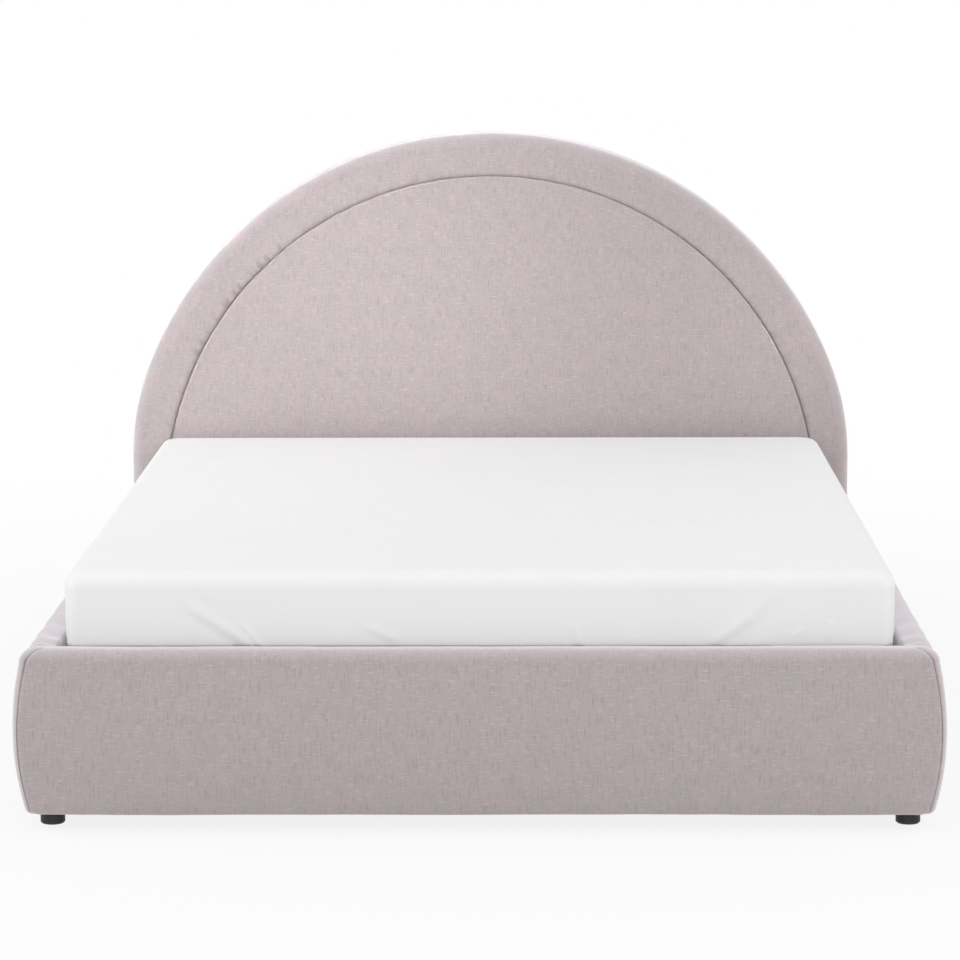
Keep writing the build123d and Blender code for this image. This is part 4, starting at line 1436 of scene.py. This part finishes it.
    def build_sheet(self, low: Vector, high: Vector) -> None:
        """Pulls the fitted sheet over the core.

        Args:
            low: The mattress's lowest corner.
            high: Its highest corner.
        """
        gap = Vector((0, 0, self.sheet_gap))
        bm = self.rounded_block(low - gap, high + gap, 380, 80, 36)
        middle = (low + high) / 2
        reach = Vector((high.x - middle.x, high.y - middle.y))
        hole = []
        for face in bm.faces:
            centre = face.calc_center_median()
            inward = min(reach.x - abs(centre.x - middle.x), reach.y - abs(centre.y - middle.y))
            if centre.z < low.z + MM and inward > self.hem_turn:
                hole.append(face)
        bmesh.ops.delete(bm, geom=hole, context="FACES")

        def on_cloth(place: Vector) -> OnCloth:
            """Lays the top flat, with each side folded out from its edge.

            Args:
                place: A point of the sheet.

            Returns:
                Its place on the cloth.
            """
            drop = high.z - place.z
            out_x = reach.x - abs(place.x - middle.x) < self.edge_radius
            out_y = reach.y - abs(place.y - middle.y) < self.edge_radius
            side_x = (1 if place.x > middle.x else -1) * drop if out_x else 0.0
            side_y = (1 if place.y > middle.y else -1) * drop if out_y and not out_x else 0.0
            return place.x + side_x, place.y + side_y

        def pull(place: Vector, normal: Vector) -> float:
            """Puts in pull folds at the foot end, loose sides and a smooth top.

            Args:
                place: A point of the sheet.
                normal: The way that it faces.

            Returns:
                How far it stands out.
            """
            side = ease((high.z - place.z) / (70 * MM))
            drawn_down = Vector((place.x, place.y, 0.4 * place.z))
            loose = self.looseness * side * unevenness(drawn_down, 130 * MM, 43)
            swelling = loose - MM * side + self.side_belly(place, normal)
            free = ease((place.z - self.stop_top) / (20 * MM)) * ease((-normal.y - 0.5) / 0.4)
            if free == 0:
                return swelling
            return swelling + free * sum(fold.lift(place.x, place.z) for fold in self.folds)

        lay_cloth(bm, on_cloth)
        swell(bm, pull)
        sheet = finish_piece(bm, "fitted_sheet", self.sheet_cloth, Slot.MATTRESS, "platform")
        hem = self.build_hem(low, middle, reach)

    def build_hem(self, low: Vector, middle: Vector, reach: Vector) -> Object:
        """Runs the elastic hem round under the mattress, lightly gathered.

        Args:
            low: The mattress's lowest corner.
            middle: Its middle.
            reach: Half its width and length.

        Returns:
            The hem.
        """
        bm = bmesh.new()
        half = reach - Vector((self.hem_turn, self.hem_turn))
        z = low.z - self.hem_drop
        turns = ((-1, -1), (1, -1), (1, 1), (-1, 1))
        points = [(sx * half.x, middle.y + sy * half.y, z) for sx, sy in turns]
        draw_outline(bm, points, True, [(0, 4, self.hem_corner, 6)], 9 * MM)
        for vert in bm.verts:
            gather = Vector((unevenness(vert.co, 30 * MM, 51), unevenness(vert.co, 30 * MM, 52), 0))
            vert.co += gather * 3 * MM
        rim = draw_out(bm, bm.edges, Vector((0, 0, 0)), 1)
        share = 1 - self.hem_width / min(reach)
        for vert in {vert for edge in rim for vert in edge.verts}:
            vert.co.x = middle.x + (vert.co.x - middle.x) * share
            vert.co.y = middle.y + (vert.co.y - middle.y) * share
        bmesh.ops.solidify(bm, geom=list(bm.faces), thickness=self.hem_thickness)
        bm.loops.layers.uv.new(CLOTH_MAP)
        return finish_piece(bm, "sheet_elastic_hem", self.sheet_cloth, Slot.MATTRESS, "platform")


@dataclass
class PullStrap:
    """The webbing loop at the foot of the platform, that it is lifted by."""

    webbing: Material
    width: float = 30 * MM
    thickness: float = 1.8 * MM
    tail: float = 50 * MM
    slant: float = 12 * MM
    tail_gap: float = 2 * MM
    loop_radius: float = 4.4 * MM
    bend_radius: float = 4 * MM
    strips: int = 6

    def build(self) -> None:
        """Folds a strip of webbing into a loop with two riveted tails."""
        low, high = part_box("pull_strap")
        bm = bmesh.new()
        front, back = low.y + self.thickness / 2, high.y - self.thickness / 2
        tail_top = low.z + self.tail
        inner = back - self.tail_gap
        path = [
            (0, inner, low.z),
            (0, inner, tail_top),
            (0, front, tail_top + self.slant),
            (0, front, high.z - MM),
            (0, back, high.z - MM),
            (0, back, low.z),
        ]
        draw_outline(bm, path, False, [(3, 5, self.loop_radius, 6), (1, 3, self.bend_radius, 4)], 6 * MM)
        bmesh.ops.translate(bm, verts=list(bm.verts), vec=(-self.width / 2, 0, 0))
        draw_out(bm, bm.edges, Vector((self.width / self.strips, 0, 0)), self.strips)
        bmesh.ops.recalc_face_normals(bm, faces=bm.faces)
        bmesh.ops.solidify(bm, geom=list(bm.faces), thickness=self.thickness)
        piece = finish_piece(bm, "platform_pull_loop", self.webbing, Slot.WEBBING, "platform")
        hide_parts("pull_strap")


@dataclass
class PlainNodes:
    """The bed's rigid pieces, whose solids show and take the finish of their slot."""

    materials: dict[Slot, Material]

    def dress(self) -> None:
        """Gives every solid the material of its slot."""
        for row in frame["record"]["subparts"]:
            node = frame["nodes"][row["node"]]
            material = self.materials[Slot(row["material_slot"])]
            if not node.material_slots:
                node.data.materials.append(material)
            for place in node.material_slots:
                place.material = material


@dataclass(frozen=True)
class Lamp:
    """A square lamp: a softbox, or a spot where its beam is narrow."""

    name: str
    place: Point
    target: Point
    size: float
    power: float  # watts
    spread: float = 180.0  # full angle of the beam in degrees

    def hang(self) -> None:
        """Hangs the lamp, pointed at its target."""
        data = bpy.data.lights.new(self.name, "AREA")
        data.shape = "SQUARE"
        data.size = self.size
        data.energy = self.power
        data.spread = radians(self.spread)
        lamp = bpy.data.objects.new(self.name, data)
        bpy.context.scene.collection.objects.link(lamp)
        lamp.visible_camera = False
        lamp.location = self.place
        aim = Vector(self.target) - Vector(self.place)
        lamp.rotation_euler = aim.to_track_quat("-Z", "Y").to_euler()


@dataclass
class Studio:
    """A pale floor, soft lamps and a white surround."""

    floor_size: float = 60.0
    world_strength: float = 0.82
    floor_colour: str = "#E2E2E2"
    shadow_share: float = 0.15
    shadow_reach: tuple[float, float] = (1.6, 4.0)
    lamps: tuple[Lamp, ...] = (
        Lamp("left_softbox", (-4.6, -0.6, 3.2), (0, 0.2, 0.5), 2.6, 74),
        Lamp("right_softbox", (4.6, -0.6, 3.2), (0, 0.2, 0.5), 2.6, 50),
        Lamp("front_softbox", (0.4, -7.0, 1.5), (0, 0, 0.5), 2.4, 78),
        Lamp("headboard_spot_middle", (0.3, -6.5, 2.9), (0.1, 1.0, 0.98), 0.9, 0.2, 12),
        Lamp("headboard_spot_left", (-2.6, -6.0, 2.7), (-0.42, 1.0, 0.93), 0.9, 1.5, 12),
        Lamp("left_shoulder_spot", (-3.6, -5.0, 1.3), (-0.88, 1.0, 0.45), 0.3, 0.17, 7),
        Lamp("right_shoulder_spot", (3.6, -5.0, 1.8), (0.80, 1.0, 0.80), 0.3, 0.12, 7),
    )

    def build(self) -> None:
        """Builds the surround, the floor and the lamps."""
        self.build_world()
        self.build_floor()
        for lamp in self.lamps:
            lamp.hang()

    def seen(self, tree: NodeTree, rays: tuple[str, ...]) -> NodeSocket:
        """Tells the rays that look at a surface from those that light with it.

        Args:
            tree: The node tree.
            rays: The kinds of ray that look.

        Returns:
            One for these rays, and zero for others.
        """
        path = add_node(tree, "LightPath")
        seen = path.outputs[rays[0]]
        for ray in rays[1:]:
            either = {"operation": "MAXIMUM", 0: seen, 1: path.outputs[ray]}
            seen = add_node(tree, "Math", either).outputs[0]
        return seen

    def build_world(self) -> None:
        """White to the eye and to gloss, and dimmer as a light."""
        world = bpy.data.worlds.new("white_surround")
        bpy.context.scene.world = world
        world.use_nodes = True
        tree = world.node_tree
        tree.nodes.clear()
        seen = self.seen(tree, ("Is Camera Ray", "Is Glossy Ray", "Is Transmission Ray"))
        strength = add_node(tree, "MapRange", {"To Min": self.world_strength, "To Max": 1.0, "Value": seen})
        white = {"Color": linear("#FFFFFF"), "Strength": strength.outputs["Result"]}
        light = add_node(tree, "Background", white)
        add_node(tree, "OutputWorld", {"Surface": light.outputs["Background"]})

    def build_floor(self) -> None:
        """A pale floor that stays white to the eye and keeps a soft shadow near the bed."""
        bm = bmesh.new()
        bmesh.ops.create_grid(bm, x_segments=8, y_segments=8, size=self.floor_size / 2)
        mesh = bpy.data.meshes.new("studio_floor")
        bm.to_mesh(mesh)
        bm.free()
        floor_object = bpy.data.objects.new("studio_floor", mesh)
        bpy.context.scene.collection.objects.link(floor_object)
        material, tree = new_material("matt_floor_paint")
        seen = self.seen(tree, ("Is Camera Ray", "Is Glossy Ray"))
        place = add_node(tree, "TexCoord").outputs["Object"]
        away = add_node(tree, "VectorMath", {"operation": "LENGTH", 0: place}).outputs["Value"]
        near, far = self.shadow_reach
        fade = {"From Min": near, "From Max": far, "To Min": 1 - self.shadow_share, "To Max": 1.0}
        white_share = add_node(tree, "MapRange", {**fade, "Value": away}).outputs["Result"]
        mix = add_node(tree, "Math", {"operation": "MULTIPLY", 0: seen, 1: white_share}).outputs[0]
        matt = add_node(tree, "BsdfDiffuse", {"Color": linear(self.floor_colour)}).outputs["BSDF"]
        white = add_node(tree, "Emission", {"Color": linear("#FFFFFF"), "Strength": 1.0})
        surface = add_node(tree, "MixShader", {0: mix, 1: matt, 2: white.outputs["Emission"]})
        add_node(tree, "OutputMaterial", {"Surface": surface.outputs["Shader"]})
        mesh.materials.append(material)


@dataclass
class PhotoCamera:
    """A long lens at eye height beyond the foot of the bed, as in the photograph."""

    place: Point = (0.098, -8.2145, 1.702)
    pitch: float = 8.150
    turn: float = 0.761
    roll: float = -0.182
    lens: float = 142.1
    sensor: float = 36.0

    def build(self) -> None:
        """Sets the camera up."""
        data = bpy.data.cameras.new("photo_camera")
        data.sensor_width = self.sensor
        data.lens = self.lens
        camera = bpy.data.objects.new("photo_camera", data)
        bpy.context.scene.collection.objects.link(camera)
        camera.location = self.place
        turn = Matrix.Rotation(radians(self.turn), 3, "Z")
        tip = Matrix.Rotation(radians(90 - self.pitch), 3, "X")
        camera.rotation_euler = (turn @ tip @ Matrix.Rotation(radians(self.roll), 3, "Z")).to_euler()
        bpy.context.scene.camera = camera


def main() -> None:
    """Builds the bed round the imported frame, and the studio round the bed."""
    logging.basicConfig(level=logging.INFO, format="%(name)s: %(message)s")
    bpy.context.scene.view_settings.view_transform = "Standard"
    materials = {slot: finish.build() for slot, finish in FINISHES.items()}
    PhotoCamera().build()
    Studio().build()
    PlainNodes(materials).dress()
    Headboard(materials[Slot.UPHOLSTERY], materials[Slot.BACKING], materials[Slot.ZINC]).build()
    for side in Side:
        SideRail(side, materials[Slot.UPHOLSTERY]).build()
    Footboard(materials[Slot.UPHOLSTERY]).build()
    Mattress(materials[Slot.MATTRESS], TICKING.build()).build()
    PullStrap(materials[Slot.WEBBING]).build()


if __name__ == "__main__":
    main()
